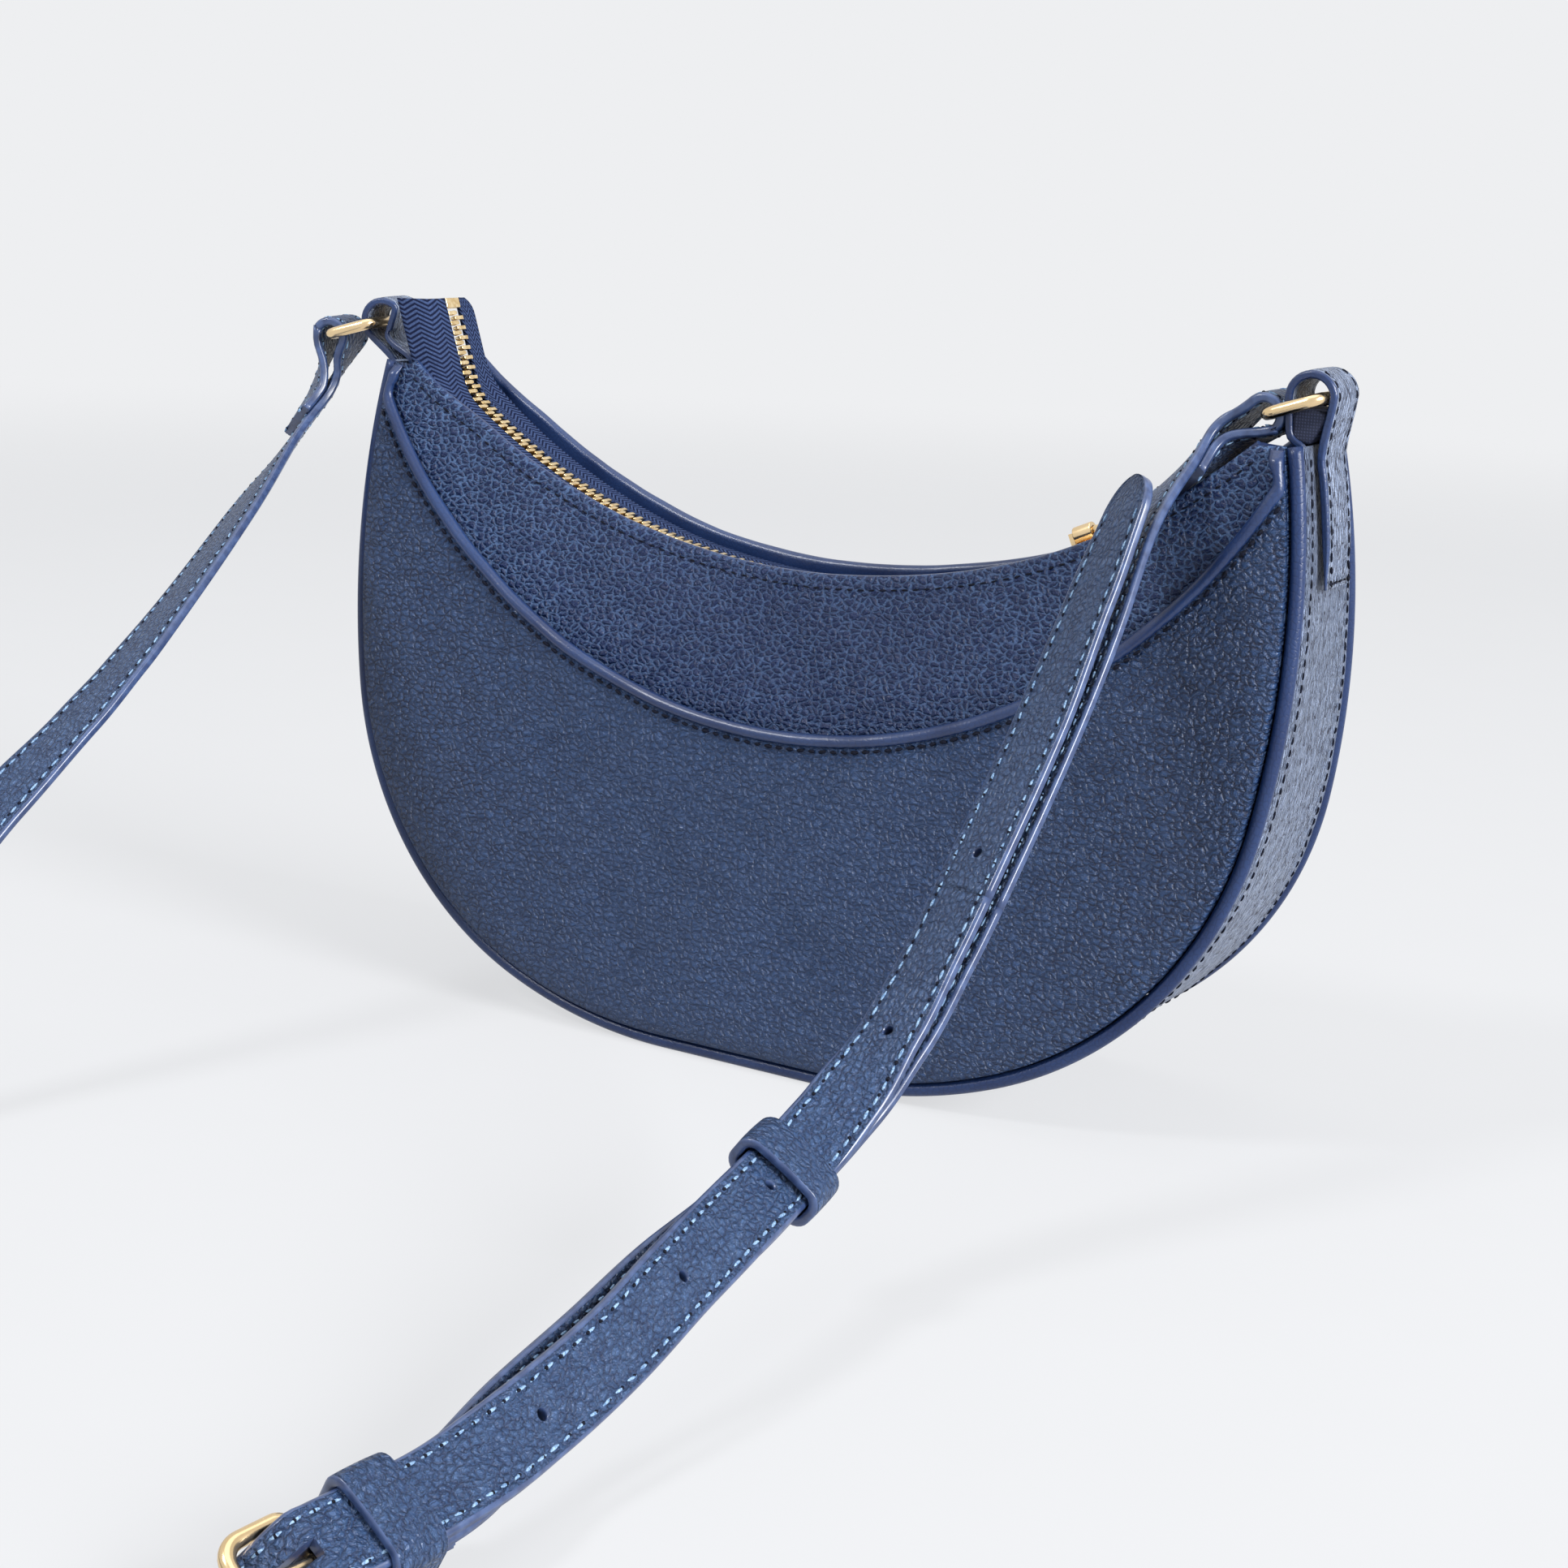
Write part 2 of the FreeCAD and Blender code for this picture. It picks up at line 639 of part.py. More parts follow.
def wire_ring(span, inner_width, wire, corner):
    """Rounded rectangular ring of round wire in its own XY plane, one bar on the Y axis."""
    half = inner_width / 2 + wire
    r = corner
    xs, ys = (0.0, span), (-half, half)
    path = closed([Part.LineSegment(V(xs[0] + r, ys[0], 0), V(xs[1] - r, ys[0], 0)),
                   arc(xs[1] - r, ys[0] + r, r, 0, math.pi / 2),
                   Part.LineSegment(V(xs[1], ys[0] + r, 0), V(xs[1], ys[1] - r, 0)),
                   arc(xs[1] - r, ys[1] - r, r, math.pi / 2, math.pi),
                   Part.LineSegment(V(xs[1] - r, ys[1], 0), V(xs[0] + r, ys[1], 0)),
                   arc(xs[0] + r, ys[1] - r, r, math.pi, 1.5 * math.pi),
                   Part.LineSegment(V(xs[0], ys[1] - r, 0), V(xs[0], ys[0] + r, 0)),
                   arc(xs[0] + r, ys[0] + r, r, 1.5 * math.pi, 2 * math.pi)])
    section = Part.Wire([Part.Circle(V(span / 2, ys[0], 0), V(1, 0, 0), wire).toShape()])
    start = Part.Wire([Part.LineSegment(V(span / 2, ys[0], 0), V(xs[1] - r, ys[0], 0)).toShape()]
                      + [c.toShape() for c in path[1:]]
                      + [Part.LineSegment(V(xs[0] + r, ys[0], 0), V(span / 2, ys[0], 0)).toShape()])
    return start.makePipeShell([section], True, False)


def unit(vector):
    return V(vector).normalize()


def square_to(axis, vector):
    """Direction of a vector once its part along an axis is taken off."""
    return unit(vector - axis * vector.dot(axis))


wire = size("ring_wire")
tab_gap = size("tab_loop") - wire - size("ring_play")
tip_x = outline(0.0, gusset_top)[-1].EndPoint.x
Z = V(0, 0, 1)
Y = V(0, 1, 0)

# Each tab stands on its tip; the left one leans out and is twisted by the pull of the strap.
TABS = {
    "right": {"hand": 1, "centre": V(tip_x - size("right_tab_in"), 0, gusset_top + size("right_tab_rise")),
              "twist": 0.0, "ring": V(0.943, 0, 0.332), "strap": V(0.84, 0.0, 0.54)},
    "left": {"hand": -1, "centre": V(-tip_x - size("left_tab_out"), 0, gusset_top + size("left_tab_rise")),
             "twist": size("left_twist"), "ring": V(0.927, 0.248, 0.28), "strap": V(0.30, 0.08, 0.95)},
}
strap_feet = {}
strap_thick = size("strap_thick")
strap_width = size("strap_width")
for where, tab in TABS.items():
    hand = tab["hand"]
    axis = FreeCAD.Rotation(Z, tab["twist"]).multVec(Y)
    to_ring = square_to(axis, tab["ring"] * -1)
    tab_thick = size("tab_thick")
    centre = tab["centre"]
    plate_mid = tip_x + gap + tab_thick / 2
    inner_mid = tip_x - size("leather") - gap - tab_thick / 2
    foot_z = gusset_top
    foot_dir = square_to(axis, V(hand * (plate_mid + inner_mid) / 2, 0, foot_z) - centre)
    side_axis = axis.cross(foot_dir)
    thin = V(math.copysign(1.0, side_axis.x), 0, 0)
    foot_at = [(plate_mid, foot_z)], [(inner_mid, foot_z + 2.0), (inner_mid, foot_z - 4.0)]
    feet = [[rectangle(V(hand * x, 0, z), Y, thin, size("tab_width"), tab_thick) for x, z in leg]
            for leg in foot_at]
    if side_axis.x * hand < 0:
        feet.reverse()
    loop = folded_strip(centre, axis, foot_dir, size("tab_loop"), tab_thick, size("tab_width"), feet)
    cx, cz, side, start, end = outline_arcs(0.0, gusset_top)[2]
    low = math.acos((cz - size("tab_bottom")) / (side + gap))
    inner_arc = arc(cx, cz, side + gap, low, end)
    outer_arc = arc(cx, cz, side + gap + tab_thick, low, end)
    edges = [inner_arc.toShape(), outer_arc.toShape(),
             Part.LineSegment(inner_arc.StartPoint, outer_arc.StartPoint).toShape(),
             Part.LineSegment(inner_arc.EndPoint, outer_arc.EndPoint).toShape()]
    plate_face = Part.Face(Part.Wire(Part.__sortEdges__(edges)))
    plate_face.Placement = FreeCAD.Placement(V(0, size("tab_width") / 2, 0), XZ)
    sewn = plate_face.extrude(V(0, -size("tab_width"), 0))
    if hand < 0:
        sewn = sewn.mirror(V(0, 0, 0), V(1, 0, 0))
    solid("tab_" + where, loop.fuse(sewn).removeSplitter())

    near_bar = centre + (to_ring * tab_gap if hand < 0 else V(tab_gap, 0, 0))
    far_bar = near_bar + to_ring * size("ring_span")
    ring_axes = FreeCAD.Rotation(to_ring, axis, to_ring.cross(axis), "XYZ")
    hoop = wire_ring(size("ring_span"), strap_width + 2 * size("ring_play"), wire, size("ring_corner"))
    hoop.Placement = FreeCAD.Placement(near_bar, ring_axes)
    solid("ring_" + where, hoop)

    # The strap's end is folded round the ring's free bar.
    away = square_to(axis, tab["strap"] * -1)
    slack = size("strap_loop") - wire - size("ring_play")
    fold_centre = far_bar + unit(to_ring + away) * slack
    meet_at = far_bar + away * size("strap_fold_back")
    pile = unit(axis.cross(away))
    apart = (strap_thick + 0.1) / 2
    feet = [[rectangle(meet_at + pile * (sign * apart), axis, pile, strap_width, strap_thick)]
            for sign in (1, -1)]
    solid("strap_end_" + where,
          folded_strip(fold_centre, axis, away, size("strap_loop"), strap_thick, strap_width, feet))
    strap_feet[where] = (meet_at, axis, away)
    print("bars", where, near_bar, far_bar, "strap starts", meet_at)

right_foot, right_axis, right_away = strap_feet["right"]
left_foot, left_axis, left_away = strap_feet["left"]

# Route of the strap: middle of the layer, and the way its right-hand edge points.
# Right-hand run, upper layer, from the free tip down to the buckle; the last value is the space
# left to the layer below.
TAIL = [
    (V(87.4, -31.5, 140.7), V(0.80, -0.45, 0.38), 6.0),
    (V(84.9, -46.0, 117.4), V(0.90, -0.38, 0.22), 2.4),
    (V(83.1, -62.0, 94.7), V(0.95, -0.28, 0.16), 2.0),
    (V(80.9, -79.0, 73.9), V(0.96, -0.26, 0.12), 2.0),
    (V(78.7, -90.5, 58.6), V(0.96, -0.27, 0.09), 1.8),
    (V(76.3, -102.5, 44.7), V(0.97, -0.18, 0.02), 1.4),
    (V(74.2, -115.5, 34.8), V(0.93, 0.05, -0.33), 0.6),
    (V(73.0, -128.0, 28.8), V(0.79, 0.15, -0.60), 0.4),
    (V(74.6, -151.0, 25.4), V(0.79, 0.15, -0.60), 0.4),
    (V(76.5, -172.0, 22.7), V(0.61, 0.17, -0.77), 3.0),
    (V(77.2, -191.0, 18.4), V(0.55, 0.18, -0.81), 5.0),
    (V(76.3, -210.0, 14.6), V(0.60, 0.07, -0.78), 4.0),
    (V(75.8, -231.5, 13.0), V(0.85, -0.12, -0.50), 0.4),
    (V(71.6, -252.5, 12.0), V(0.85, -0.18, -0.50), 0.4),
]
# Long stretch from the buckle over the floor to where it leaves it.
LONG_FLOOR = [
    (V(60.4, -275.5, 5.6), V(0.70, -0.45, -0.50)),
    (V(48.0, -292.0, 7.0), V(0.25, -0.15, -0.95)),
    (V(28.0, -306.0, 7.3), V(0.0, 0.0, -1.0)),
    (V(4.0, -317.0, 7.3), V(0.0, 0.0, -1.0)),
    (V(-25.0, -321.0, 7.3), V(0.0, 0.0, -1.0)),
    (V(-56.0, -313.0, 7.3), V(0.0, 0.0, -1.0)),
    (V(-84.0, -293.0, 7.3), V(0.0, 0.0, -1.0)),
    (V(-107.0, -262.0, 8.0), V(0.0, 0.0, -1.0)),
    (V(-120.0, -226.0, 11.5), V(0.15, 0.10, -0.98)),
    (V(-125.4, -192.0, 20.0), V(0.47, 0.30, -0.83)),
    (V(-124.8, -160.0, 36.0), V(0.84, 0.23, -0.48)),
]
# Rise to the left ring; the last three places are counted from the loop's foot.
LONG_RISE = [
    (V(-121.6, -128.0, 60.4), V(0.98, -0.02, -0.17)),
    (V(-118.4, -109.0, 75.0), V(0.99, -0.11, 0.0)),
    (V(-117.8, -95.0, 85.1), V(0.98, -0.04, 0.18)),
    (V(-119.5, -77.0, 96.9), V(0.94, -0.06, 0.34)),
    (left_foot + V(10.5074, -40.5901, -23.5939), V(0.90, -0.12, 0.42)),
    (left_foot + V(4.5074, -24.1901, -16.0939), V(0.82, -0.32, 0.48)),
    (left_foot + V(1.2074, -10.7901, -9.5939), V(0.62, -0.66, 0.42)),
]
# Lower layer between the right ring and the tip of the tail, counted from the loop's foot.
SHORT_TOP = [
    (right_foot + V(-3.1379, -7.0000, -3.9589), V(0.45, -0.85, 0.20)),
    (right_foot + V(-3.7379, -18.5000, -7.9589), V(0.70, -0.55, 0.35)),
    (right_foot + V(-4.5379, -30.0000, -16.3589), V(0.80, -0.52, 0.33)),
]


def section_axes(stations):
    """Tangent, width and face directions at every station of a route."""
    points = [s[0] for s in stations]
    axes = []
    for i, point in enumerate(points):
        ahead = unit(points[min(i + 1, len(points) - 1)] - points[max(i - 1, 0)])
        wide_axis = stations[i][1]
        wide_axis = unit(wide_axis - ahead * ahead.dot(wide_axis))
        axes.append((point, ahead, wide_axis, ahead.cross(wide_axis)))
    return axes


def ribbon(sections):
    """Flat strap through a list of (centre, width direction, face direction)."""
    return ruled([rectangle(p, w, n, strap_width, strap_thick) for p, w, n in sections])


tail_axes = section_axes(TAIL)
under = [(p - n * (strap_thick + TAIL[i][2]), w, n) for i, (p, t, w, n) in enumerate(tail_axes)]
tail_line = [(p, w, n) for p, t, w, n in tail_axes]

# Straight stretch at the buckle: the two layers, the fold round the bar, the keeper and the frame.
bar_point, bar_t, bar_w, bar_n = tail_axes[-1]
before = tail_axes[-2]
bar_t = unit(bar_point - before[0])
bar_w = unit(bar_w - bar_t * bar_t.dot(bar_w))
bar_n = bar_t.cross(bar_w)
for line, drop in ((tail_line, 0.0), (under, strap_thick + TAIL[-1][2])):
    line[-2] = (before[0] - bar_n * drop, bar_w, bar_n)
    line[-1] = (bar_point - bar_n * drop, bar_w, bar_n)
keeper_point = tail_axes[7][0]
keeper_t = unit(tail_axes[8][0] - keeper_point)
keeper_w = unit(tail_axes[7][2] - keeper_t * keeper_t.dot(tail_axes[7][2]))
keeper_n = keeper_t.cross(keeper_w)
for line, drop in ((tail_line, 0.0), (under, strap_thick + TAIL[7][2])):
    for k in (7, 8):
        line[k] = (TAIL[k][0] - keeper_n * drop, keeper_w, keeper_n)

upper = section_axes([(right_foot, right_axis * -1)] + SHORT_TOP + [(under[1][0], under[1][1])])
upper_line = [(p, w, n) for p, t, w, n in upper]
upper_line[0] = (right_foot, right_axis * -1, right_away.cross(right_axis * -1))
upper_line[-1] = under[1]
solid("strap_short_rise", ribbon(upper_line + under[2:4]))
solid("strap_tail_tip", ribbon(tail_line[:4]))

# Buckle: the frame's bar lies in the fold of the short strap, under the tail.
b_wire = size("buckle_wire")
span = size("buckle_span")
bar_drop = strap_thick * 1.5 + TAIL[-1][2] + b_wire + 0.05
bar_centre = bar_point - bar_n * bar_drop
frame_rot = FreeCAD.Rotation(bar_t, bar_w, bar_n, "XYZ")
frame_at = FreeCAD.Placement(bar_centre, frame_rot)
frame = wire_ring(span, strap_width + 2 * size("ring_play"), b_wire, size("buckle_corner"))
frame.Placement = frame_at
solid("buckle_frame", frame)

# The tail dips through the frame and runs on below its outer bar; a slot lets the prong through.
p_r = size("prong_radius")
through = span + 2.0
low_point = bar_centre + bar_t * through - bar_n * (b_wire + strap_thick / 2 + 0.4)
dip = bar_centre + bar_t * (span - b_wire) - bar_n * (b_wire + strap_thick / 2 + 0.3)
crest = bar_point + bar_t * 2.6
slope = unit(dip - crest)
slope_n = unit(slope.cross(bar_w))
tail = ribbon(tail_line[3:] + [(crest, bar_w, unit(bar_n + slope_n)), (dip, bar_w, unit(bar_n + slope_n)),
                               (low_point, bar_w, bar_n)])
slot_high = 3 * strap_thick + 4.0
slot = Part.makeBox(span - 2.4, size("prong_slot"), slot_high,
                    V(1.6, -size("prong_slot") / 2, -slot_high / 2 + 1.0))
slot.Placement = frame_at
solid("strap_tail", tail.cut(slot))

long_axes = section_axes([(low_point, bar_w)] + LONG_FLOOR + LONG_RISE + [(left_foot, left_axis * -1)])
long_line = [(p, w, n) for p, t, w, n in long_axes]
long_line[0] = (low_point, bar_w, bar_n)
left_w = left_axis * -1
long_line[-1] = (left_foot, left_w, (left_away * -1).cross(left_w))
leaves_floor = len(LONG_FLOOR)
solid("strap_floor", ribbon(long_line[:leaves_floor + 1]))
solid("strap_left_rise", ribbon(long_line[leaves_floor:]))

# The short strap's end goes round the bar and is sewn back on itself; a slot leaves room for the prong.
eye_in = b_wire + size("pull_play")
eye_out = eye_in + 1.1
fold_in = b_wire + 0.05
ring_out = Part.makeCylinder(fold_in + strap_thick, strap_width, V(0, 0, 0), V(0, 0, 1), 180)
ring_in = Part.makeCylinder(fold_in, strap_width, V(0, 0, 0), V(0, 0, 1), 180)
fold = ring_out.cut(ring_in)
fold.Placement = FreeCAD.Placement(bar_centre - bar_w * (strap_width / 2),
                                   FreeCAD.Rotation(bar_n, bar_t, bar_w, "XYZ"))
under_start = bar_centre - bar_n * (fold_in + strap_thick / 2)
sewn_level = under[-1][0] - bar_n * (strap_thick + 0.3)
sewn_mid = sewn_level - bar_t * (0.45 * size("fold_length"))
sewn_end = sewn_level - bar_t * (0.75 * size("fold_length"))
leg_back = ribbon([(under_start, bar_w, bar_n), (sewn_mid, bar_w, bar_n), (sewn_end, bar_w, bar_n)])
fold = fold.fuse(leg_back).removeSplitter()
slot_back = eye_out + size("strap_play")
fold_reach = fold_in + strap_thick + 1.0
fold_slot = Part.makeBox(slot_back + fold_reach, size("prong_slot"), 2 * fold_reach,
                         V(-slot_back, -size("prong_slot") / 2, -fold_reach))
fold_slot.Placement = frame_at
solid("strap_short", ribbon(under[3:]).cut(fold_slot))
solid("strap_fold", fold.cut(fold_slot))

# Prong: an eye on the bar and a pin whose end rests on the outer bar.
eye_wide = size("prong_slot") - 2 * size("strap_play") - 0.4
eye = Part.makeCylinder(eye_out, eye_wide, V(0, -eye_wide / 2, 0), V(0, 1, 0))
rest_z = b_wire + p_r + 0.1
pin = Part.makeCylinder(p_r, span + 1.0 - eye_in, V(eye_in + 0.3, 0, rest_z), V(1, 0, 0))
prong = eye.fuse(pin).cut(Part.makeCylinder(eye_in, eye_wide, V(0, -eye_wide / 2, 0), V(0, 1, 0)))
prong.Placement = frame_at
solid("buckle_prong", prong.removeSplitter())


def keeper(label, centre, along, wide_axis, face, inner_width, inner_height):
    """Closed leather loop round the strap's layers."""
    wall = size("keeper_wall")
    long = size("keeper_length")
    outer = Part.makeBox(long, inner_width + 2 * wall, inner_height + 2 * wall,
                         V(-long / 2, -inner_width / 2 - wall, -inner_height / 2 - wall))
    edges = [e for e in outer.Edges if abs(e.tangentAt(e.FirstParameter).x) > 0.9]
    outer = outer.makeFillet(wall * 1.2, edges)
    inner = Part.makeBox(long, inner_width, inner_height, V(-long / 2, -inner_width / 2, -inner_height / 2))
    loop = outer.cut(inner)
    loop.Placement = FreeCAD.Placement(centre, FreeCAD.Rotation(along, wide_axis, face, "XYZ"))
    return solid(label, loop)


play = size("strap_play")
two_layers = 2 * strap_thick + TAIL[7][2]
slide_from = keeper_point + keeper_t * (size("keeper_length") / 2 + 0.5)
keeper("keeper_sliding", slide_from - keeper_n * (two_layers - strap_thick) / 2, keeper_t, keeper_w, keeper_n,
       strap_width + 2 * play, two_layers + 2 * play)
three_layers = 3 * strap_thick + TAIL[-1][2] + 1.7
fixed_at = bar_point - bar_t * (size("keeper_length") / 2 + size("keeper_back"))
keeper("keeper_fixed", fixed_at - bar_n * (three_layers - strap_thick) / 2, bar_t, bar_w, bar_n,
       strap_width + 2 * play, three_layers + 2 * play)
print("keeper slides along", keeper_t)
print("buckle bar", bar_centre, "axis", bar_w, "along", bar_t, "up", bar_n)
print("slider", slider_home.Base, "pull pivot", slider_home.multVec(V(0, 0, crown_z)))

doc.recompute()
for obj in doc.Objects:
    if "Invalid" in obj.State or "Error" in obj.State:
        raise RuntimeError("object failed: " + obj.Name)
os.makedirs("parts", exist_ok=True)
for obj in nodes:
    if obj.Shape.isNull() or not obj.Shape.isValid():
        raise RuntimeError("bad shape: " + obj.Label)
for obj in nodes:
    obj.Shape.exportStep("parts/%s.step" % obj.Label)
    box = obj.Shape.optimalBoundingBox()
    print("%-18s %d solids %9.1f mm3  x %.1f %.1f  y %.1f %.1f  z %.1f %.1f" % (
        obj.Label, len(obj.Shape.Solids), obj.Shape.Volume, box.XMin, box.XMax, box.YMin, box.YMax,
        box.ZMin, box.ZMax))
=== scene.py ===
import math

import bmesh
import bpy
from mathutils import Matrix, Vector, noise


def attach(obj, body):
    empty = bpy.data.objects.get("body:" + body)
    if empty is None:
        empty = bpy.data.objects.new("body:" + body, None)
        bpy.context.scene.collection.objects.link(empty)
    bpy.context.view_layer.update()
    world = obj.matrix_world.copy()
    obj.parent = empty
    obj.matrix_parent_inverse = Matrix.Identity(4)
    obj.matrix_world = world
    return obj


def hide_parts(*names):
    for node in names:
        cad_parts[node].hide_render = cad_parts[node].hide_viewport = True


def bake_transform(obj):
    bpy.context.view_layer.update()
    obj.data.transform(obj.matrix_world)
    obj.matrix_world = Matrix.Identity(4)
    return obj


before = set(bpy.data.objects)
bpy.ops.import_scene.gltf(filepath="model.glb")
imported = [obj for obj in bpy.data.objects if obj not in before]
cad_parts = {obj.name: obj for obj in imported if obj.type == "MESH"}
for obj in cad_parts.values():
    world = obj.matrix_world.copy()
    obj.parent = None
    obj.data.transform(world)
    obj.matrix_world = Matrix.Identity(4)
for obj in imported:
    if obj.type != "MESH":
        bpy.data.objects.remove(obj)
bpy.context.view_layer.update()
MM = 0.001
BACK, FRONT = -1, 1
HALVES = ((BACK, "back"), (FRONT, "front"))


def linked(name, data):
    """A new object in the scene."""
    made = bpy.data.objects.new(name, data)
    bpy.context.scene.collection.objects.link(made)
    return made


# Camera at the photograph's place.
PHOTO_PIXELS, FOCAL_PIXELS = 1932, 3200
SENSOR = 36.0
EYE = Vector((281.1, -499.5, 199.5)) * MM
YAW, PITCH, ROLL = math.radians(-30.0), math.radians(13.75), math.radians(2.4)


def photo_camera():
    forward = Vector((math.sin(YAW) * math.cos(PITCH), math.cos(YAW) * math.cos(PITCH), -math.sin(PITCH)))
    right = Vector((math.cos(YAW), -math.sin(YAW), 0))
    up = right.cross(forward)
    turned_right = math.cos(ROLL) * right + math.sin(ROLL) * up
    turned_up = -math.sin(ROLL) * right + math.cos(ROLL) * up
    data = bpy.data.cameras.new("photo_camera")
    data.sensor_width = SENSOR
    data.lens = SENSOR * FOCAL_PIXELS / PHOTO_PIXELS
    data.clip_start = 0.01
    camera = linked("photo_camera", data)
    axes = Matrix((turned_right, turned_up, -forward)).transposed().to_4x4()
    camera.matrix_world = Matrix.Translation(EYE) @ axes
    bpy.context.scene.camera = camera


photo_camera()
bpy.context.scene.view_settings.view_transform = "Standard"


# Materials.
class Value:
    """A node's output, which can be added, subtracted, multiplied and divided."""

    def __init__(self, graph, socket):
        self.graph = graph
        self.socket = socket

    def __add__(self, other):
        return self.graph.math("ADD", self, other)

    def __sub__(self, other):
        return self.graph.math("SUBTRACT", self, other)

    def __mul__(self, other):
        return self.graph.math("MULTIPLY", self, other)

    def __truediv__(self, other):
        return self.graph.math("DIVIDE", self, other)

    def __rsub__(self, other):
        return self.graph.math("SUBTRACT", other, self)

    def __rtruediv__(self, other):
        return self.graph.math("DIVIDE", other, self)

    __radd__ = __add__
    __rmul__ = __mul__

    def beside(self, output):
        """Another output of the same node."""
        return Value(self.graph, self.socket.node.outputs[output])


class Graph:
    """The nodes of a material, of the world or of a geometry group."""

    def __init__(self, owner):
        self.owner = owner
        if isinstance(owner, bpy.types.NodeTree):
            self.tree = owner
        else:
            owner.use_nodes = True
            self.tree = owner.node_tree
        self.tree.nodes.clear()

    def node(self, kind, settings, sockets, output=0):
        made = self.tree.nodes.new(kind)
        for key, value in settings.items():
            setattr(made, key, value)
        for key, value in sockets.items():
            if isinstance(value, Value):
                self.tree.links.new(value.socket, made.inputs[key])
            else:
                made.inputs[key].default_value = value
        return Value(self, made.outputs[output]) if made.outputs else None

    def math(self, operation, *values):
        return self.node("ShaderNodeMath", {"operation": operation}, dict(enumerate(values)))

    def place(self):
        return self.node("ShaderNodeTexCoord", {}, {}, "Object")

    def uv(self):
        return self.node("ShaderNodeTexCoord", {}, {}, "UV")

    def parted(self, vector):
        """First part of a vector; the others lie beside it."""
        return self.node("ShaderNodeSeparateXYZ", {}, {0: vector})

    def seen_from_front(self):
        """The bag's width and height as a flat place."""
        width = self.parted(self.place())
        return self.node("ShaderNodeCombineXYZ", {}, {0: width, 1: width.beside(2)})

    def scaled(self, vector, factors):
        return self.node("ShaderNodeVectorMath", {"operation": "MULTIPLY"}, {0: vector, 1: factors})

    def shifted(self, vector, other):
        return self.node("ShaderNodeVectorMath", {"operation": "ADD"}, {0: vector, 1: other})

    def noise(self, vector, scale, detail=3.0, output="Fac"):
        return self.node("ShaderNodeTexNoise", {},
                         {"Vector": vector, "Scale": scale, "Detail": detail}, output)

    def cells(self, vector, feature, output):
        return self.node("ShaderNodeTexVoronoi", {"feature": feature, "voronoi_dimensions": "2D"},
                         {"Vector": vector, "Scale": 1.0, "Randomness": 0.92}, output)

    def cell_edges(self, vector, reach):
        """Lines between cells, one on the line and nought at the reach from it."""
        return self.ramp(self.cells(vector, "DISTANCE_TO_EDGE", "Distance"), 0.0, reach, 1.0, 0.0)

    def ramp(self, value, low, high, start=0.0, end=1.0):
        return self.node("ShaderNodeMapRange", {"interpolation_type": "SMOOTHSTEP"},
                         {"Value": value, "From Min": low, "From Max": high, "To Min": start, "To Max": end})

    def mix(self, factor, first, second):
        return self.node("ShaderNodeMix", {"data_type": "RGBA"}, {0: factor, 6: first, 7: second}, 2)

    def mix_shaders(self, factor, first, second):
        return self.node("ShaderNodeMixShader", {}, {0: factor, 1: first, 2: second})

    def bump(self, height, strength, distance):
        return self.node("ShaderNodeBump", {},
                         {"Strength": strength, "Distance": distance, "Height": height})

    def seen(self):
        """One for rays that bring a surface to the eye, straight, mirrored or through glass."""
        straight = self.node("ShaderNodeLightPath", {}, {}, "Is Camera Ray")
        mirrored = self.math("MAXIMUM", straight, straight.beside("Is Glossy Ray"))
        return self.math("MAXIMUM", mirrored, straight.beside("Is Transmission Ray"))

    def surface(self, sockets):
        return self.finish(self.node("ShaderNodeBsdfPrincipled", {}, sockets))

    def finish(self, shader):
        self.node("ShaderNodeOutputMaterial", {}, {"Surface": shader})
        return self.owner


def material_graph(name):
    return Graph(bpy.data.materials.new(name))


def colour(red, green, blue):
    """Linear colour from the screen values 0 to 255."""
    def linear(value):
        value = value / 255
        return value / 12.92 if value <= 0.04045 else ((value + 0.055) / 1.055) ** 2.4
    return (linear(red), linear(green), linear(blue), 1.0)


# Sizes of the leather's patterns, as turns in a metre.
BREAKS, WANDER, FOLDS, RIPPLE, PORES = 300.0, 420.0, 520.0, 1300.0, 2400.0
# The painted crease light and shade is drawn faintly in the middle of the bag and fully towards its sides,
# where light catches the flanks.
MIDDLE, SIDES = 0.02, 0.1


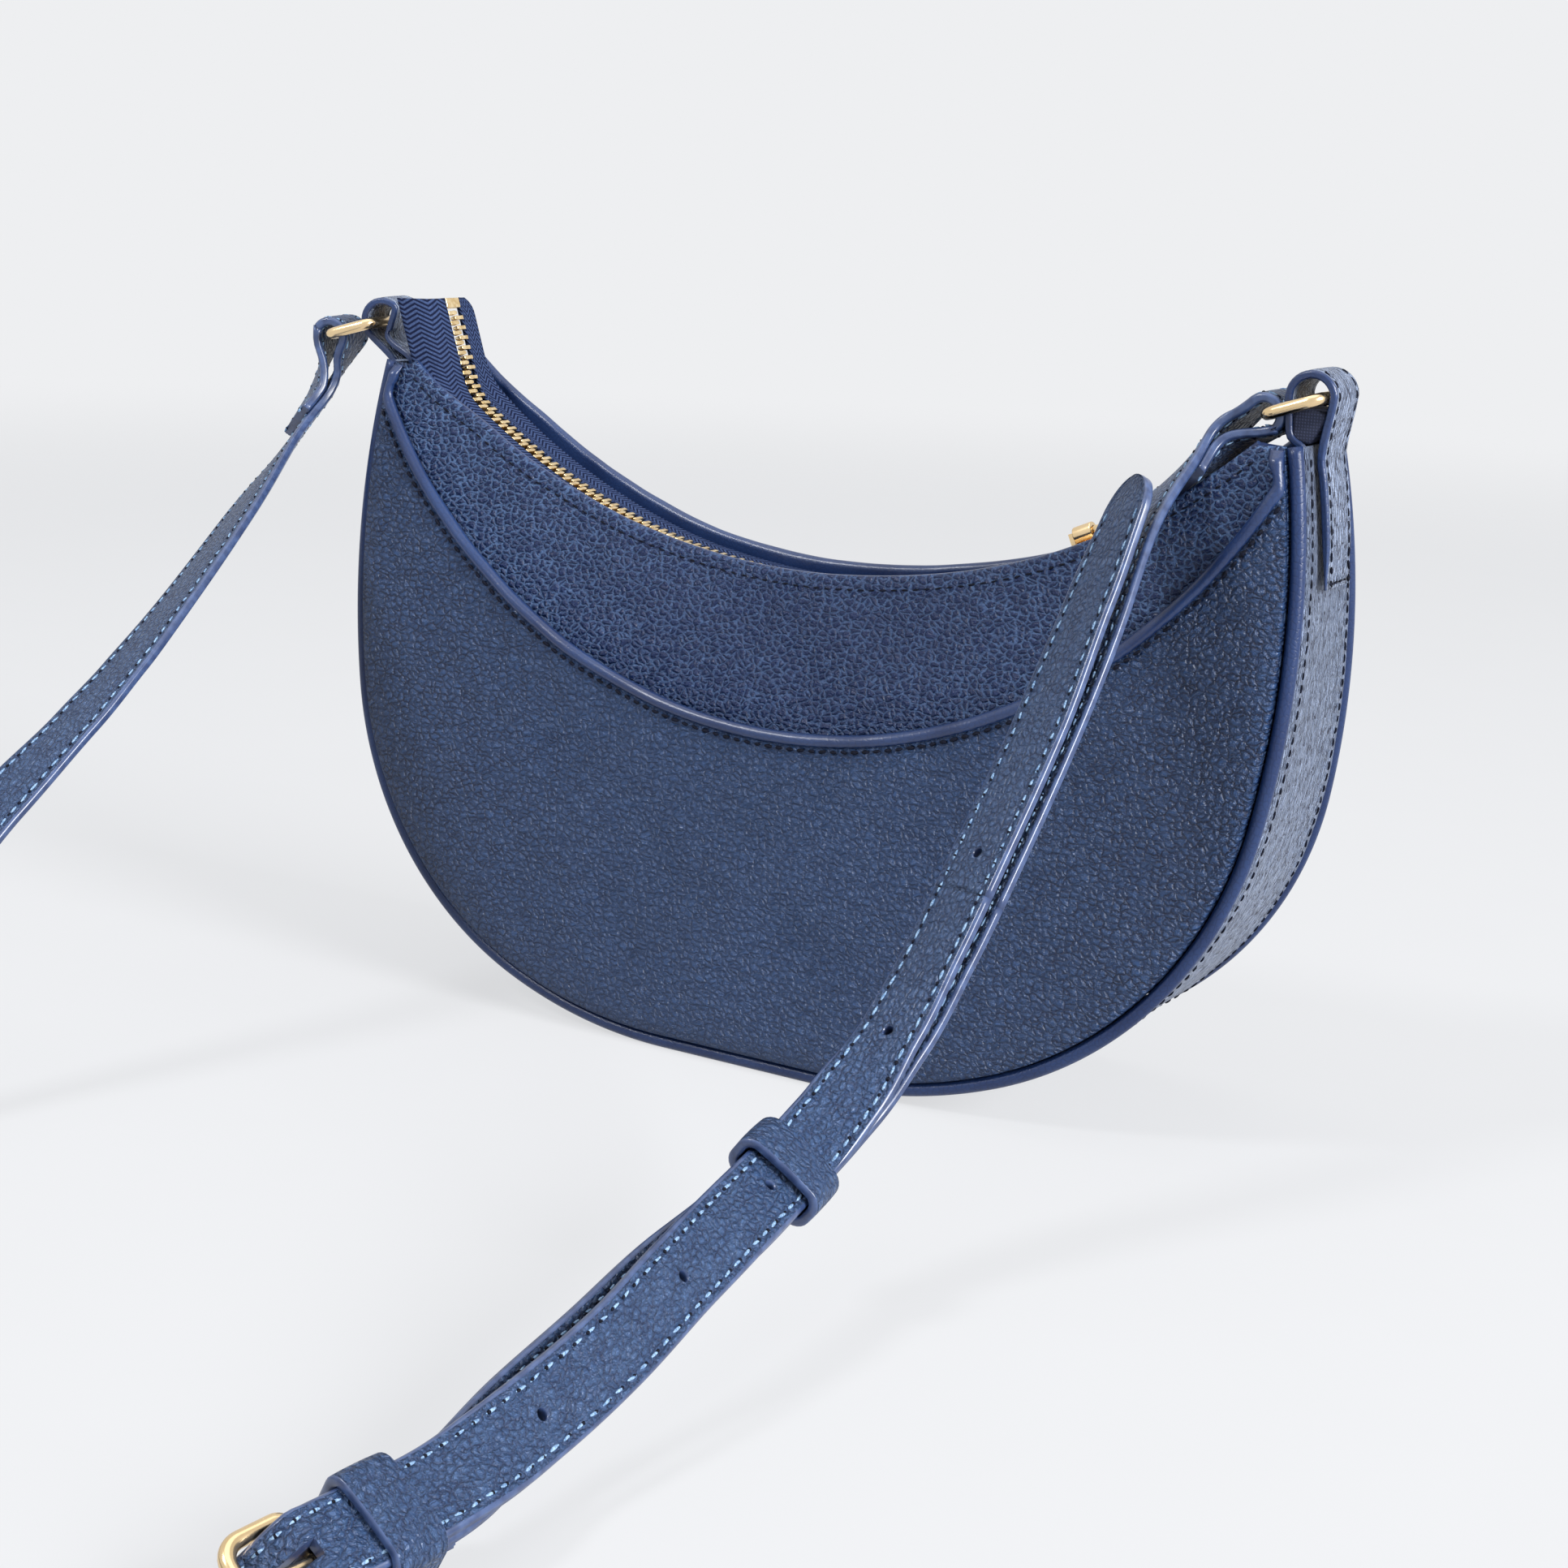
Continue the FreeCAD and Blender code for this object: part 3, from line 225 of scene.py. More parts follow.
def grained_leather(name, body, bloom, crease_painted_light, share, pebble, depth, rough, along_strip=False):
    """Pebbled leather: domed, irregular cells parted by creases, with a finer net on them; the creases and
    the net are coloured with painted light, a pale crease colour giving painted highlight and a dark one
    painted shade.
    """
    g = material_graph(name)
    place = g.uv() if along_strip else g.seen_from_front()
    wander = g.noise(place, WANDER, 2.0, "Color")
    ripple = g.noise(place, RIPPLE, 2.0, "Color")
    cells = g.scaled(place, (1 / (pebble[0] * MM), 1 / (pebble[1] * MM), 0.0))
    cells = g.shifted(cells, g.scaled(wander, (1.2, 1.2, 0.0)))
    cells = g.shifted(cells, g.scaled(ripple, (0.55, 0.55, 0.0)))
    broken = g.ramp(g.noise(place, BREAKS, 2.0), 0.34, 0.62)
    edge = g.cells(cells, "DISTANCE_TO_EDGE", "Distance")
    crease = g.ramp(edge, 0.0, 0.23, 1.0, 0.0) * (0.5 + broken * 0.5)
    hair = g.cell_edges(g.scaled(cells, (2.2, 2.2, 0.0)), 0.14)
    dome = g.ramp(edge, 0.0, 0.42)
    fine = g.noise(place, PORES, 2.0)
    fold = g.ramp(g.noise(g.scaled(place, (0.3, 1.0, 0.0)), FOLDS, 3.0), 0.4, 0.7)
    tint = g.cells(cells, "F1", "Color") * 0.18 + fine * 0.12 + fold * 0.2 + 0.2
    # Painted light in the creases: the crease colour is laid along the creases and the finer net, as painted
    # highlight where it is pale and painted shade where it is dark.
    drawn = crease * share + hair * (0.25 * share)
    # Painted light stronger towards the sides of the bag.
    if not along_strip:
        drawn = drawn * g.ramp(g.math("ABSOLUTE", g.parted(place)), MIDDLE, SIDES, 0.7, 1.15)
    return g.surface({"Base Color": g.mix(drawn, g.mix(tint, body, bloom), crease_painted_light),
                      "Roughness": rough + crease * 0.16 + fine * 0.08, "Specular IOR Level": 0.4,
                      "Normal": g.bump(dome - hair * 0.2 + fine * 0.08 + fold * 0.4, 1.0, depth * MM)})


def smooth_leather(name, body, bloom, dark, depth, rough, coat=0.0):
    """Fine-grained strip leather for piping and turned edges."""
    g = material_graph(name)
    place = g.place()
    grain = g.noise(place, 900.0, 4.0)
    crease = g.cell_edges(g.scaled(g.uv(), (700.0, 900.0, 0.0)), 0.2)
    tone = g.mix(g.ramp(g.noise(place, 60.0, 3.0), 0.3, 0.7), body, bloom)
    # The fine crease net is darkened as painted shade; the grain noise darkens at random.
    return g.surface({"Base Color": g.mix(crease * 0.25 + grain * 0.2, tone, dark),
                      "Roughness": rough + grain * 0.12, "Specular IOR Level": 0.4,
                      "Coat Weight": coat, "Coat Roughness": 0.28,
                      "Normal": g.bump(grain * 0.6 - crease * 0.4, 0.4, depth * MM)})


def painted_edge():
    g = material_graph("painted_edge")
    waves = g.noise(g.place(), 420.0, 3.0)
    return g.surface({"Base Color": g.mix(g.ramp(waves, 0.3, 0.75), colour(42, 59, 98), colour(66, 87, 130)),
                      "Roughness": 0.3 + waves * 0.14, "Coat Weight": 0.5, "Coat Roughness": 0.2,
                      "Normal": g.bump(waves, 0.3, 0.12 * MM)})


def thread(name, dark, light):
    """Twisted sewing thread."""
    g = material_graph(name)
    ply = g.noise(g.place(), 2600.0, 2.0)
    return g.surface({"Base Color": g.mix(g.ramp(ply, 0.35, 0.65), dark, light), "Roughness": 0.7,
                      "Specular IOR Level": 0.15, "Normal": g.bump(ply, 0.6, 0.1 * MM)})


def polished_gold():
    g = material_graph("polished_gold")
    place = g.place()
    haze = g.noise(place, 140.0, 4.0)
    scuff = g.noise(g.scaled(place, (400.0, 2600.0, 400.0)), 1.0, 2.0)
    return g.surface({"Base Color": g.mix(haze, colour(224, 192, 142), colour(246, 222, 180)),
                      "Metallic": 1.0, "Roughness": 0.13 + haze * 0.1 + scuff * 0.06,
                      "Normal": g.bump(scuff, 0.08, 0.05 * MM)})


def brass_teeth():
    g = material_graph("brass_teeth")
    wear = g.noise(g.place(), 700.0, 3.0)
    tone = g.mix(g.ramp(wear, 0.3, 0.7), colour(222, 190, 134), colour(250, 228, 184))
    return g.surface({"Base Color": tone, "Metallic": 1.0, "Roughness": 0.2 + wear * 0.2,
                      "Normal": g.bump(wear, 0.15, 0.05 * MM)})


def woven_tape():
    """Zip tape with a herringbone weave, drawn along its own length."""
    zigzag_width, rib_length = 1.5 * MM, 1.15 * MM
    g = material_graph("woven_tape")
    along = g.parted(g.uv())
    zigzag = g.math("PINGPONG", along.beside(1), zigzag_width)
    rib = g.math("FRACT", (along + zigzag * 1.1) / rib_length)
    line = g.ramp(g.math("ABSOLUTE", rib - 0.5), 0.12, 0.34)
    fibre = g.noise(g.place(), 2200.0, 3.0)
    tone = g.mix(line * (0.1 + fibre * 0.9), colour(12, 20, 48), colour(78, 98, 142))
    return g.surface({"Base Color": tone, "Roughness": 0.85, "Specular IOR Level": 0.15,
                      "Normal": g.bump(line + fibre * 0.5, 0.7, 0.18 * MM)})


def lining_cloth():
    g = material_graph("lining_cloth")
    place = g.place()
    weft, warp = (g.node("ShaderNodeTexWave", {"bands_direction": bands},
                         {"Vector": place, "Scale": 520.0, "Distortion": 0.4}, "Fac") for bands in "ZX")
    weave = weft * warp
    return g.surface({"Base Color": g.mix(weave, colour(34, 40, 62), colour(58, 66, 94)),
                      "Roughness": 0.85, "Normal": g.bump(weave, 0.5, 0.1 * MM)})


# Upper panels: the pale crease colour is a painted highlight, light caught on the grain's edges.
panel_leather = grained_leather(
    "panel_leather", body=colour(1, 18, 58), bloom=colour(16, 43, 93), crease_painted_light=colour(92, 123, 168),
    share=0.56, pebble=(1.9, 1.4), depth=0.5, rough=0.32)
# Pocket: the dark crease colour is painted shade in the creases.
pocket_leather = grained_leather(
    "pocket_leather", body=colour(31, 55, 94), bloom=colour(61, 89, 133), crease_painted_light=colour(5, 16, 46),
    share=0.75, pebble=(1.9, 1.4), depth=0.6, rough=0.3)
# Gusset and tabs: painted far paler than the panels as painted light for their lit side, with a pale bloom
# as painted highlight and dark creases as painted shade.
gusset_leather_painted_light = grained_leather(
    "gusset_leather_painted_light", body=colour(104, 122, 158), bloom=colour(190, 205, 232),
    crease_painted_light=colour(10, 20, 50), share=1.0, pebble=(4.2, 1.0), depth=0.7, rough=0.28, along_strip=True)
# Strap: the dark crease colour is painted shade in the creases.
strap_leather = grained_leather(
    "strap_leather", body=colour(35, 58, 98), bloom=colour(86, 114, 156), crease_painted_light=colour(10, 23, 56),
    share=0.75, pebble=(1.7, 1.3), depth=0.55, rough=0.32, along_strip=True)
piping_leather = smooth_leather(
    "piping_leather", body=colour(26, 46, 88), bloom=colour(36, 58, 102), dark=colour(14, 26, 56),
    depth=0.15, rough=0.3)
turned_edge = smooth_leather(
    "turned_edge", body=colour(26, 47, 90), bloom=colour(38, 62, 108), dark=colour(14, 28, 60),
    depth=0.12, rough=0.28, coat=0.35)
edge_paint = painted_edge()
dark_thread = thread("dark_thread", colour(5, 7, 17), colour(16, 21, 40))
light_thread = thread("light_thread", colour(98, 130, 170), colour(158, 188, 216))
gold = polished_gold()
teeth_metal = brass_teeth()
tape_weave = woven_tape()
lining = lining_cloth()


# Meshes.
def new_object(name, mesh, materials):
    for material in materials:
        mesh.materials.append(material)
    return linked(name, mesh)


def skin(name, rings, materials, tags=None, closed=False):
    """Loft through closed cross-sections given in millimetres; tags pick a material for each side."""
    around = len(rings[0])
    bm = bmesh.new()
    rows = [[bm.verts.new(Vector(p) * MM) for p in ring] for ring in rings]
    layer = bm.loops.layers.uv.new("length")
    runs = [0.0]
    for a, b in zip(rings, rings[1:] + rings[:1]):
        runs.append(runs[-1] + sum((Vector(p) - Vector(q)).length for p, q in zip(a, b)) / around * MM)
    turns = [0.0]
    middle = rings[len(rings) // 2]
    for i in range(around):
        turns.append(turns[-1] + (Vector(middle[(i + 1) % around]) - Vector(middle[i])).length * MM)
    for r in range(len(rows) if closed else len(rows) - 1):
        a, b = rows[r], rows[(r + 1) % len(rows)]
        for i in range(around):
            j = (i + 1) % around
            face = bm.faces.new((a[i], a[j], b[j], b[i]))
            face.smooth = True
            face.material_index = tags[i] if tags else 0
            corners = ((r, i), (r, i + 1), (r + 1, i + 1), (r + 1, i))
            for loop, (run, turn) in zip(face.loops, corners):
                loop[layer].uv = (runs[run], turns[turn])
    if not closed:
        for row in (rows[0][::-1], rows[-1]):
            bm.faces.new(row).material_index = max(tags) if tags else 0
    bmesh.ops.recalc_face_normals(bm, faces=bm.faces)
    return new_object(name, taken_from(bm, name), materials)


def taken_from(bm, name):
    mesh = bpy.data.meshes.new(name)
    bm.to_mesh(mesh)
    bm.free()
    return mesh


def square_to(ahead, wide):
    """Direction nearest to a given one that stands square to another."""
    return (wide - ahead * ahead.dot(wide)).normalized()


def tube(name, path, radius, material, closed=False, sides=14):
    """Round rod along a path, with a frame carried from point to point."""
    count = len(path)
    path = [Vector(p) for p in path]
    rings = []
    axis = None
    for i, point in enumerate(path):
        after = path[(i + 1) % count] if closed else path[min(i + 1, count - 1)]
        before = path[i - 1] if closed or i else path[0]
        ahead = (after - before).normalized()
        if axis is None:
            axis = ahead.orthogonal().normalized()
        axis = square_to(ahead, axis)
        side = ahead.cross(axis)
        rings.append([point + (axis * math.cos(a) + side * math.sin(a)) * radius
                      for a in (2 * math.pi * k / sides for k in range(sides))])
    return skin(name, rings, [material], closed=closed)


SHARP = 0.5


def rounded_copy(node_name, width, material):
    """Copy of a metal CAD part with its sharp edges broken."""
    name = node_name + "_metal"
    bm = bmesh.new()
    bm.from_mesh(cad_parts[node_name].data)
    bmesh.ops.remove_doubles(bm, verts=bm.verts, dist=1e-6)
    bmesh.ops.dissolve_limit(bm, angle_limit=0.02, verts=bm.verts, edges=bm.edges)
    sharp = [e for e in bm.edges if len(e.link_faces) == 2 and e.calc_face_angle(0.0) > SHARP]
    bmesh.ops.bevel(bm, geom=sharp, offset=width * MM, segments=2, affect="EDGES", profile=0.6,
                    clamp_overlap=True)
    for face in bm.faces:
        face.smooth = True
    piece = new_object(name, taken_from(bm, name), [material])
    piece.modifiers.new("weighted", "WEIGHTED_NORMAL")
    return piece


# Stitches: short beads of thread laid along lines.
def stitch_group():
    group = bpy.data.node_groups.new("stitches", "GeometryNodeTree")
    for label, kind in (("Geometry", "Geometry"), ("Spacing", "Float"), ("Length", "Float"),
                        ("Radius", "Float"), ("Thread", "Material")):
        group.interface.new_socket(label, in_out="INPUT", socket_type="NodeSocket" + kind)
    group.interface.new_socket("Geometry", in_out="OUTPUT", socket_type="NodeSocketGeometry")
    g = Graph(group)

    def random_vector(low, high, seed):
        return g.node("FunctionNodeRandomValue", {"data_type": "FLOAT_VECTOR"},
                      {0: low, 1: high, "Seed": seed})

    given = g.node("NodeGroupInput", {}, {})
    radius = given.beside("Radius")
    line = g.node("GeometryNodeMeshToCurve", {}, {"Mesh": given})
    spaced = g.node("GeometryNodeResampleCurve", {"mode": "LENGTH"},
                    {"Curve": line, "Length": given.beside("Spacing")})
    bead = g.node("GeometryNodeMeshUVSphere", {}, {"Segments": 6, "Rings": 5, "Radius": 1.0})
    size = g.node("ShaderNodeCombineXYZ", {}, {0: radius, 1: radius, 2: given.beside("Length")})
    shaped = g.node("GeometryNodeTransform", {}, {"Geometry": bead, "Scale": size})
    ahead = g.node("GeometryNodeInputTangent", {}, {})
    turn = g.node("FunctionNodeAlignRotationToVector", {"axis": "Z"}, {"Vector": ahead})
    tilt = random_vector((-0.14, -0.14, 0.0), (0.14, 0.14, 0.0), 3)
    askew = g.node("FunctionNodeRotateRotation", {"rotation_space": "LOCAL"},
                   {"Rotation": turn, "Rotate By": tilt})
    swell = random_vector((0.8, 0.8, 0.8), (1.1, 1.1, 1.1), 5)
    laid = g.node("GeometryNodeInstanceOnPoints", {},
                  {"Points": spaced, "Instance": shaped, "Rotation": askew, "Scale": swell})
    real = g.node("GeometryNodeRealizeInstances", {}, {"Geometry": laid})
    smooth = g.node("GeometryNodeSetShadeSmooth", {}, {"Geometry": real})
    sewn_on = g.node("GeometryNodeSetMaterial", {}, {"Geometry": smooth, "Material": given.beside("Thread")})
    g.node("NodeGroupOutput", {}, {0: sewn_on})
    return group


STITCH = stitch_group()


def evaluated_mesh(piece):
    """A piece's mesh as its modifiers leave it."""
    bpy.context.view_layer.update()
    return bpy.data.meshes.new_from_object(piece.evaluated_get(bpy.context.evaluated_depsgraph_get()))


def stitches(name, lines, material, spacing=2.6, length=1.9, radius=0.3):
    mesh = bpy.data.meshes.new(name + "_lines")
    points, edges = [], []
    for line in lines:
        first = len(points)
        points.extend(Vector(p) * MM for p in line)
        edges.extend((k, k + 1) for k in range(first, len(points) - 1))
    mesh.from_pydata(points, edges, [])
    guide = new_object(name + "_lines", mesh, [])
    modifier = guide.modifiers.new("stitches", "NODES")
    modifier.node_group = STITCH
    values = {"Spacing": spacing * MM, "Length": length / 2 * MM, "Radius": radius * MM, "Thread": material}
    for item in STITCH.interface.items_tree:
        if item.in_out == "INPUT" and item.name in values:
            modifier[item.identifier] = values[item.name]
    laid = evaluated_mesh(guide)
    laid.name = name
    bpy.data.objects.remove(guide)
    return new_object(name, laid, [])


SEWN_PITCH = 3.3


def sewn(name, lines):
    """Strap stitching: long light stitches, with short dark beads between them as painted shade in the
    needle holes.
    """
    thread_piece = stitches(name + "_stitches", lines, light_thread, SEWN_PITCH, 2.3, 0.31)
    half = SEWN_PITCH / 2
    shifted = []
    for line in lines:
        run, k = 0.0, 0
        while run < half and k < len(line) - 2:
            run += (line[k + 1] - line[k]).length
            k += 1
        back = (line[k - 1] - line[k]).normalized() * (run - half)
        shifted.append([line[k] + back] + line[k:])
    # Dark beads in the needle holes: painted shade.
    return [thread_piece, stitches(name + "_needle_hole_painted_shade", shifted, dark_thread, SEWN_PITCH, 0.9, 0.36)]


def riding(piece, body, slot, *nodes):
    """Ties a piece to a CAD body, in place of the nodes that it shows."""
    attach(piece, body)
    if nodes:
        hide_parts(*nodes)


def on_bag(piece, slot, *nodes):
    riding(piece, "bag", slot, *nodes)


# Shape of the bag: the outline, the mouth and the way the soft panels sink between them.
LEAN = math.radians(6.0)
TIP = 148.0
GUSSET_TOP = TIP * math.cos(LEAN)
HALF_WIDTH, HALF_FLAT = 117.4, 20.0
BASE_R, SIDE_R = 115.0, 200.0
BASE_TURN, SIDE_TURN = math.radians(22.0), math.radians(80.0)
MOUTH_R, MOUTH_LOW = 156.0, 109.2
MOUTH_Z = MOUTH_R + MOUTH_LOW
MOUTH_HALF = 103.7
MOUTH_TURN = math.asin(MOUTH_HALF / MOUTH_R)
POCKET_R, POCKET_LOW = 124.4, 76.2
POCKET_Z = POCKET_R + POCKET_LOW
HALF_DEPTH = 29.2
SINK, SINK_FROM, SINK_HALF = 8.0, 6.0, 110.0
PUFF, RIM_RISE = 1.2, 1.9
SEAM = 3.4
PIPING_R, PIPING_IN, PIPING_DEPTH = 1.55, 1.7, 1.4


def outline_arcs(inset, top):
    """Centre, radius and first and last angle of the three arcs of the right half of the outline."""
    a1, a2 = BASE_TURN, SIDE_TURN
    flat, r1, r3 = HALF_FLAT, BASE_R, SIDE_R
    r2 = (HALF_WIDTH - flat - r1 * math.sin(a1) - r3 * (1 - math.sin(a2))) / (math.sin(a2) - math.sin(a1))
    x2, z2 = flat + (r1 - r2) * math.sin(a1), r1 - (r1 - r2) * math.cos(a1)
    x3, z3 = x2 + (r2 - r3) * math.sin(a2), z2 - (r2 - r3) * math.cos(a2)
    a3 = math.acos((z3 - top) / (r3 - inset))
    return [(flat, r1, r1 - inset, 0.0, a1), (x2, z2, r2 - inset, a1, a2), (x3, z3, r3 - inset, a2, a3)]


def outline_point(t, inset=0.0, top=TIP):
    """Point and outward direction on the outline, t from -1 at the left tip to 1 at the right."""
    arcs = outline_arcs(inset, top)
    hand = math.copysign(1.0, t)
    run = abs(t) * (arcs[0][0] + sum(r * (b - a) for x, z, r, a, b in arcs))
    if run <= arcs[0][0]:
        return hand * run, inset, 0.0, -1.0
    run -= arcs[0][0]
    for x, z, r, a, b in arcs:
        if run <= r * (b - a) or b == arcs[2][4]:
            turn = a + run / r
            nx, nz = math.sin(turn), -math.cos(turn)
            return hand * (x + r * nx), z + r * nz, hand * nx, nz
        run -= r * (b - a)


def edge_distance(x, z):
    """How far a point of a panel lies inside the outline."""
    x = abs(x)
    if x < HALF_FLAT:
        return z
    best = 0.0
    for cx, cz, r, a, b in outline_arcs(0.0, TIP):
        turn = math.atan2(x - cx, cz - z)
        if a - 0.02 <= turn <= b + 0.5:
            best = r - math.hypot(x - cx, z - cz)
            if turn <= b:
                break
    return best


def mouth_height(x):
    return MOUTH_Z - math.sqrt(MOUTH_R ** 2 - min(abs(x), MOUTH_HALF) ** 2)


def sink(x, z):
    """How far the panel has fallen in towards the mouth."""
    rise = min(max((z - SINK_FROM) / (mouth_height(x) - SINK_FROM), 0.0), 1.0)
    return SINK * rise ** 1.2 * math.cos(math.pi / 2 * min(1.0, abs(x) / SINK_HALF))


def leaned(side, x, z, depth):
    """Point in the bag's frame from a place on a leaning panel and a depth below its plane."""
    return Vector((x, side * (HALF_DEPTH - z * math.sin(LEAN) - depth * math.cos(LEAN)),
                   z * math.cos(LEAN) - depth * math.sin(LEAN)))


def on_panel(side, x, z, lift=0.0):
    """Point in the bag's frame on a soft panel, lifted off its face."""
    inner = max(edge_distance(x, z) - SEAM, 0.0)
    puff = PUFF * (1 - math.exp(-inner / 5.0))
    rumple = noise.noise(Vector((x * 0.045, z * 0.06, 7.0 * side))) * 0.9 * min(1.0, inner / 25.0)
    rumple += noise.noise(Vector((x * 0.12, z * 0.10, 3.0 + side))) * 0.25 * min(1.0, inner / 18.0)
    return leaned(side, x, z, sink(x, z) - (puff + rumple) - lift)


def eased(value):
    value = min(max(value, 0.0), 1.0)
    return value * value * (3 - 2 * value)


def rim_lift(t):
    """How far the soft rim stands above its arc between the left tip and the zip's open end."""
    return RIM_RISE * eased((t + 0.96) / 0.2) * eased((0.7 - t) / 0.6)


def mouth_point(t, down=0.0):
    turn = t * MOUTH_TURN
    radius = MOUTH_R + down - rim_lift(t)
    return radius * math.sin(turn), MOUTH_Z - radius * math.cos(turn)


def pocket_end():
    """Where the pocket's arc meets the panel's edge: place on the outline and angle on the arc."""
    low, high = 0.3, 0.999
    for _ in range(40):
        middle = (low + high) / 2
        x, z, *_ = outline_point(middle, SEAM)
        if math.hypot(x, z - POCKET_Z) > POCKET_R and z < POCKET_Z:
            low = middle
        else:
            high = middle
    x, z, *_ = outline_point(low, SEAM)
    return low, math.atan2(x, POCKET_Z - z)


POCKET_T, POCKET_TURN = pocket_end()


def pocket_point(t, down=0.0):
    turn = t * POCKET_TURN
    return (POCKET_R + down) * math.sin(turn), POCKET_Z - (POCKET_R + down) * math.cos(turn)


def spread(count, low=-1.0, high=1.0):
    return [low + (high - low) * k / (count - 1) for k in range(count)]


def between(first, second, v):
    return [a + (b - a) * v for a, b in zip(first, second)]


RIM_R, FACING = 1.3, 9.5
# Sides of a panel's section that show the turned edge of the mouth.
TURN_FIRST, TURN_LAST = 48, 55


def panel_shell(name, side):
    """Panel that turns over at the mouth and runs down inside as the facing."""
    rings = []
    for t in spread(221):
        edge = outline_point(t, SEAM)[:2]
        brim = mouth_point(t, RIM_R)
        inside = mouth_point(t, RIM_R + FACING - 0.5)
        ring = [on_panel(side, *edge, -1.3), on_panel(side, *edge, -0.6)]
        ring += [on_panel(side, *between(edge, brim, v ** 0.9), -0.1 * (1 - v))
                 for v in spread(44, 0.004, 1.0)]
        for k in range(1, 8):
            a = math.pi * k / 8
            over = mouth_point(t, RIM_R - RIM_R * math.sin(a))
            ring.append(on_panel(side, *over, -RIM_R * (1 - math.cos(a))))
        ring += [on_panel(side, *mouth_point(t, RIM_R + FACING * v), -2 * RIM_R)
                 for v in spread(7, 0.0, 1.0)]
        ring.append(on_panel(side, *mouth_point(t, RIM_R + FACING), -1.6))
        ring += [on_panel(side, *between(edge, inside, v), -1.5) for v in spread(14, 0.92, 0.02)]
        rings.append(ring)
    tags = [1 if TURN_FIRST <= k < TURN_LAST else 0 for k in range(len(rings[0]))]
    return skin(name, rings, [panel_leather, turned_edge], tags)


for side, where in HALVES:
    on_bag(panel_shell(where + "_panel_leather", side), "bag_leather", where + "_panel", where + "_facing")

POCKET_GAPE, POCKET_TOP, POCKET_INSIDE = 0.7, 1.5, 0.2


def gape(t):
    """How far the pocket's mouth stands off the panel."""
    return POCKET_GAPE * max(math.cos(t * math.pi / 2), 0.0)


def pocket_shell():
    rings = []
    for t in spread(201):
        edge = outline_point(t * POCKET_T, SEAM)[:2]
        brim = pocket_point(t, 0.4)
        ring = [on_panel(BACK, *edge, 0.15), on_panel(BACK, *edge, 0.9)]
        ring += [on_panel(BACK, *between(edge, brim, v ** 0.9), POCKET_TOP + gape(t) * v ** 3)
                 for v in spread(40, 0.01, 1.0)]
        ring += [on_panel(BACK, *between(edge, brim, v), POCKET_INSIDE + gape(t) * v ** 3)
                 for v in spread(16, 0.995, 0.02)]
        rings.append(ring)
    return skin("pocket_leather", rings, [pocket_leather])


on_bag(pocket_shell(), "bag_leather", "pocket_panel")

# Section of the pocket's turned edge, as steps down from the arc and off the panel.
BAND_W = 2.8
BAND = ((2.8, 1.0), (2.75, 1.6), (2.4, 2.1), (1.7, 2.4), (0.9, 2.3), (0.3, 1.9), (0.0, 1.3), (0.15, 0.7),
        (0.7, 0.3), (1.7, 0.25), (2.8, 0.3))
BAND_END, BAND_TOP = 0.05, 0.996


def band_place(t, down):
    """Place on the panel of a point of the turned edge; past the pocket's arc it follows the piping."""
    hand = math.copysign(1.0, t)
    if abs(t) > 1.0:
        place = POCKET_T + (BAND_TOP - POCKET_T) * (abs(t) - 1.0) / BAND_END
        return outline_point(hand * place, SEAM + BAND_W - down)[:2]
    shift = max(SEAM - edge_distance(*pocket_point(t, BAND_W)), 0.0)
    x, z = pocket_point(t, down)
    return x - hand * shift, z


def pocket_band():
    """Turned edge of the pocket's mouth, which runs up beside the piping to the tips."""
    rings = []
    for t in spread(261, -1 - BAND_END, 1 + BAND_END):
        tuck = 1 - 0.75 * eased((abs(t) - 1.02) / 0.03)
        rings.append([on_panel(BACK, *band_place(t, down), lift * tuck + gape(t)) for down, lift in BAND])
    return skin("pocket_turned_edge", rings, [turned_edge])


on_bag(pocket_band(), "edge_paint", "pocket_edge")
pocket_row = [on_panel(BACK, *pocket_point(t, 3.7), POCKET_TOP + gape(t) + 0.15)
              for t in spread(300, -0.95, 0.95)]
on_bag(stitches("pocket_stitches", [pocket_row], dark_thread, 2.7, 1.9, 0.46), "bag_leather")
for side, where in HALVES:
    mouth_row = [on_panel(side, *mouth_point(t, 3.2), 0.02) for t in spread(300, -0.97, 0.97)]
    on_bag(stitches(where + "_mouth_stitches", [mouth_row], dark_thread, 2.7, 1.7, 0.26), "bag_leather")
for side, where in HALVES:
    cord_path = [leaned(side, *outline_point(t, PIPING_IN)[:2], PIPING_DEPTH) for t in spread(261)]
    cord = tube(where + "_piping_cord", cord_path, PIPING_R, piping_leather, sides=16)
    on_bag(cord, "bag_leather", where + "_piping")


def half_depth(z, depth):
    """Half width of the bag between planes set in from the panels' outer faces."""
    return HALF_DEPTH - depth / math.cos(LEAN) - z * math.tan(LEAN)


GUSSET_IN, GUSSET_T, GUSSET_HOLLOW = 3.0, 1.35, 0.35


def gusset_rumple(x, v, z):
    return 0.25 * noise.noise(Vector((x * 0.07, v * 2.0, z * 0.07)))


